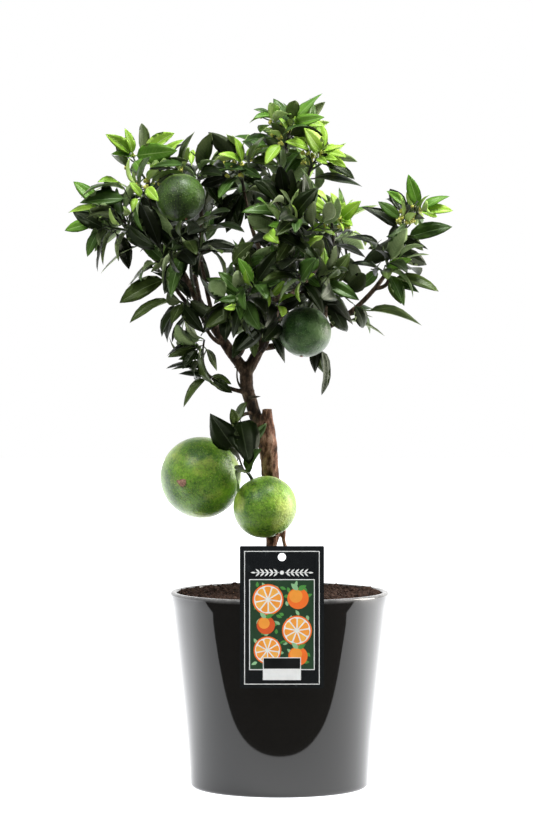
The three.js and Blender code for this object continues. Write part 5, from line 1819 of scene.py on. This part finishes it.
def card_sheet():
    """The plate with its hole and rounded corners, and the tongue that hooks over the rim."""
    hole = ring_points(0, CARD["height"] - CARD["hole_drop"], CARD["hole"], 40)
    mesh = bmesh.new()
    for loop in (card_outline(), hole):
        corners = []
        for x, z in loop:
            place = (CARD["middle"] + x) * MM, CARD_BACK * MM, (CARD["foot"] + z) * MM
            corners.append(mesh.verts.new(place))
        for a, b in zip(corners, corners[1:] + corners[:1]):
            mesh.edges.new((a, b))
    bmesh.ops.triangle_fill(mesh, use_beauty=True, use_dissolve=False, edges=mesh.edges)
    sheet = bmesh.ops.extrude_face_region(mesh, geom=mesh.faces[:])
    moved = [v for v in sheet["geom"] if isinstance(v, bmesh.types.BMVert)]
    bmesh.ops.translate(mesh, verts=moved, vec=(0, -CARD["thick"] * MM, 0))
    points, faces = tongue_shape()
    corners = [mesh.verts.new(p * MM) for p in points]
    for face in faces:
        mesh.faces.new([corners[v] for v in face])
    bmesh.ops.recalc_face_normals(mesh, faces=mesh.faces)
    data = bpy.data.meshes.new("card_sheet")
    mesh.to_mesh(data)
    mesh.free()
    dress(add_object("card_sheet", data, [card_material()], smooth=False), ["card"])


HOOK = dict(width=16, thick=0.8, drop=2.8, clear=1)


def tongue_shape():
    """The tongue, from inside the plate over the rim and down behind it."""
    over = POT["height"] + GAP
    inside = -(POT["top"] - POT["wall"]) + HOOK["clear"]
    thick, drop = HOOK["thick"], HOOK["drop"]
    side = [
        (CARD_BACK - 0.4, over),
        (inside, over),
        (inside, over - drop),
        (inside + thick, over - drop),
        (inside + thick, over + thick),
        (CARD_BACK - 0.4, over + thick),
    ]
    half = HOOK["width"] / 2
    points = [Vector((CARD["middle"] + x, y, z)) for x in (-half, half) for y, z in side]
    count = len(side)
    ends = [(0, 1, 4, 5), (1, 2, 3, 4)]
    faces = ends + [tuple(v + count for v in reversed(face)) for face in ends]
    faces += [(k, (k + 1) % count, count + (k + 1) % count, count + k) for k in range(count)]
    return points, faces


# Stage, light and camera

MIRRORED_FLOOR = 2.15  # how bright the glaze mirrors the floor behind the pot
FLOOR_REACH = 6.0  # metres
FLOOR_EDGE = -0.205  # where the white floor ends in the glaze's mirror
FLAG = dict(half_width=2.5, front=-5, height=0.0006)
CAMERA = dict(place=(-0.0125, -3.6, 0.504), down=2.27, lens=164.4, sensor=36)
AIM = Vector((0, 0, 0.35))

# name, place, size, power, tint
SOFTBOXES = (
    ("key_light", (-1.1, -1.4, 2.0), (0.8, 0.8), 25, (1, 1, 1)),
    ("top_light", (0.4, -0.4, 2.3), (0.7, 0.7), 58, (0.96, 0.98, 1.0)),
    ("right_light", (1.7, 0.45, 0.8), (0.8, 1.5), 48, (1.0, 0.95, 0.88)),
)


def flat_sheet(name, low, high, z, finish):
    """A flat sheet from one corner (x, y) to the other."""
    corners = [(low[0], low[1], z), (high[0], low[1], z), (high[0], high[1], z), (low[0], high[1], z)]
    sheet = bpy.data.meshes.new(name)
    sheet.from_pydata(corners, [], [(0, 1, 2, 3)])
    return add_object(name, sheet, [finish], smooth=False)


def stage_pieces():
    """A white floor that glows, evenly and brightly to the camera, faintly on other things, and brighter towards the
    back in reflections; and a dark sheet over its front half that only reflections see.
    """
    made, kit, shader = material("studio_floor")
    set_sockets(shader, Base_Color=grey(0.5), Roughness=0.95, Specular_IOR_Level=0.0)
    set_sockets(shader, Emission_Color=(0.965, 0.975, 1, 1))
    path = kit.add("ShaderNodeLightPath").outputs
    place = kit.add("ShaderNodeTexCoord").outputs["Object"]
    back = kit.add("ShaderNodeSeparateXYZ", inputs={0: place}).outputs[1]
    away = kit.math("ADD", back, 0.5)
    mirrored = kit.ramp(away, (0.3, grey(0.42)), (0.5, grey(0.68)), (0.6, grey(0.85)), (0.7, grey(1)))
    glossy = kit.math("MULTIPLY", kit.math("MULTIPLY", mirrored, path["Is Glossy Ray"]), MIRRORED_FLOOR)
    plain = kit.math("MULTIPLY", path["Is Camera Ray"], 1.2)
    glow = kit.math("ADD", kit.math("ADD", plain, glossy), 0.1)
    kit.link(glow, shader.inputs["Emission Strength"])
    flat_sheet("studio_floor", (-FLOOR_REACH, -FLOOR_REACH), (FLOOR_REACH, FLOOR_REACH), 0, made)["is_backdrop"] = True
    dark, _, dark_shader = material("dark_flag")
    set_sockets(dark_shader, Base_Color=srgb("4a4844"), Roughness=1.0, Specular_IOR_Level=0.0)
    corners = (-FLAG["half_width"], FLAG["front"]), (FLAG["half_width"], FLOOR_EDGE)
    flag = flat_sheet("dark_flag", *corners, FLAG["height"], dark)
    flag.visible_camera = flag.visible_diffuse = flag.visible_shadow = flag.visible_transmission = False
    flag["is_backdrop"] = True


def studio_world():
    """A white room that is dimmer in front and cool overhead, and plain white to the camera."""
    world = bpy.data.worlds.new("studio")
    bpy.context.scene.world = world
    world.use_nodes = True
    kit = Nodes(world.node_tree)
    back = world.node_tree.nodes["Background"]
    plain = kit.add("ShaderNodeBackground", inputs={"Color": grey(1), "Strength": 1.0})
    ray = kit.add("ShaderNodeTexCoord").outputs["Generated"]
    _, backward, upward = kit.add("ShaderNodeSeparateXYZ", inputs={0: ray}).outputs
    behind = kit.ramp(
        kit.math("MULTIPLY_ADD", backward, 0.5, 0.5),
        (0.33, grey(0.042)),
        (0.52, (0.49, 0.5, 0.515, 1)),
        (0.68, (0.88, 0.895, 0.92, 1)),
        (0.8, grey(1)),
    )
    above = kit.ramp(upward, (0.35, grey(0)), (0.8, grey(1)))
    room = kit.blend(above, behind, (0.11, 0.13, 0.145, 1))
    kit.link(room, back.inputs["Color"])
    back.inputs["Strength"].default_value = 1.6
    seen = kit.add("ShaderNodeLightPath").outputs["Is Camera Ray"]
    both = kit.add("ShaderNodeMixShader", inputs={0: seen, 1: back.outputs[0], 2: plain.outputs[0]})
    kit.link(both.outputs[0], world.node_tree.nodes["World Output"].inputs["Surface"])


def softbox(name, place, size, power, tint):
    data = bpy.data.lights.new(name, "AREA")
    data.shape = "RECTANGLE"
    data.size, data.size_y = size
    data.energy = power
    data.color = tint
    light = bpy.data.objects.new(name, data)
    light.location = place
    light.rotation_euler = (AIM - Vector(place)).to_track_quat("-Z", "Y").to_euler()
    bpy.context.scene.collection.objects.link(light)


def set_camera():
    data = bpy.data.cameras.new("camera")
    data.lens = CAMERA["lens"]
    data.sensor_width = CAMERA["sensor"]
    camera = bpy.data.objects.new("camera", data)
    camera.location = CAMERA["place"]
    camera.rotation_euler = (math.radians(90 - CAMERA["down"]), 0, 0)
    bpy.context.scene.collection.objects.link(camera)
    bpy.context.scene.camera = camera
    bpy.context.scene.view_settings.view_transform = "Standard"


leaf_pieces()
twig_pieces()
bark_piece()
fruit_pieces()
bud_piece()
pot_piece()
soil_pieces()
card_sheet()
card_print()
stage_pieces()
studio_world()
for light_row in SOFTBOXES:
    softbox(*light_row)
set_camera()

seen_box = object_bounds()
sizes = {name: [list(corner) for corner in box] for name, box in (("cad", cad_box), ("visual", seen_box))}
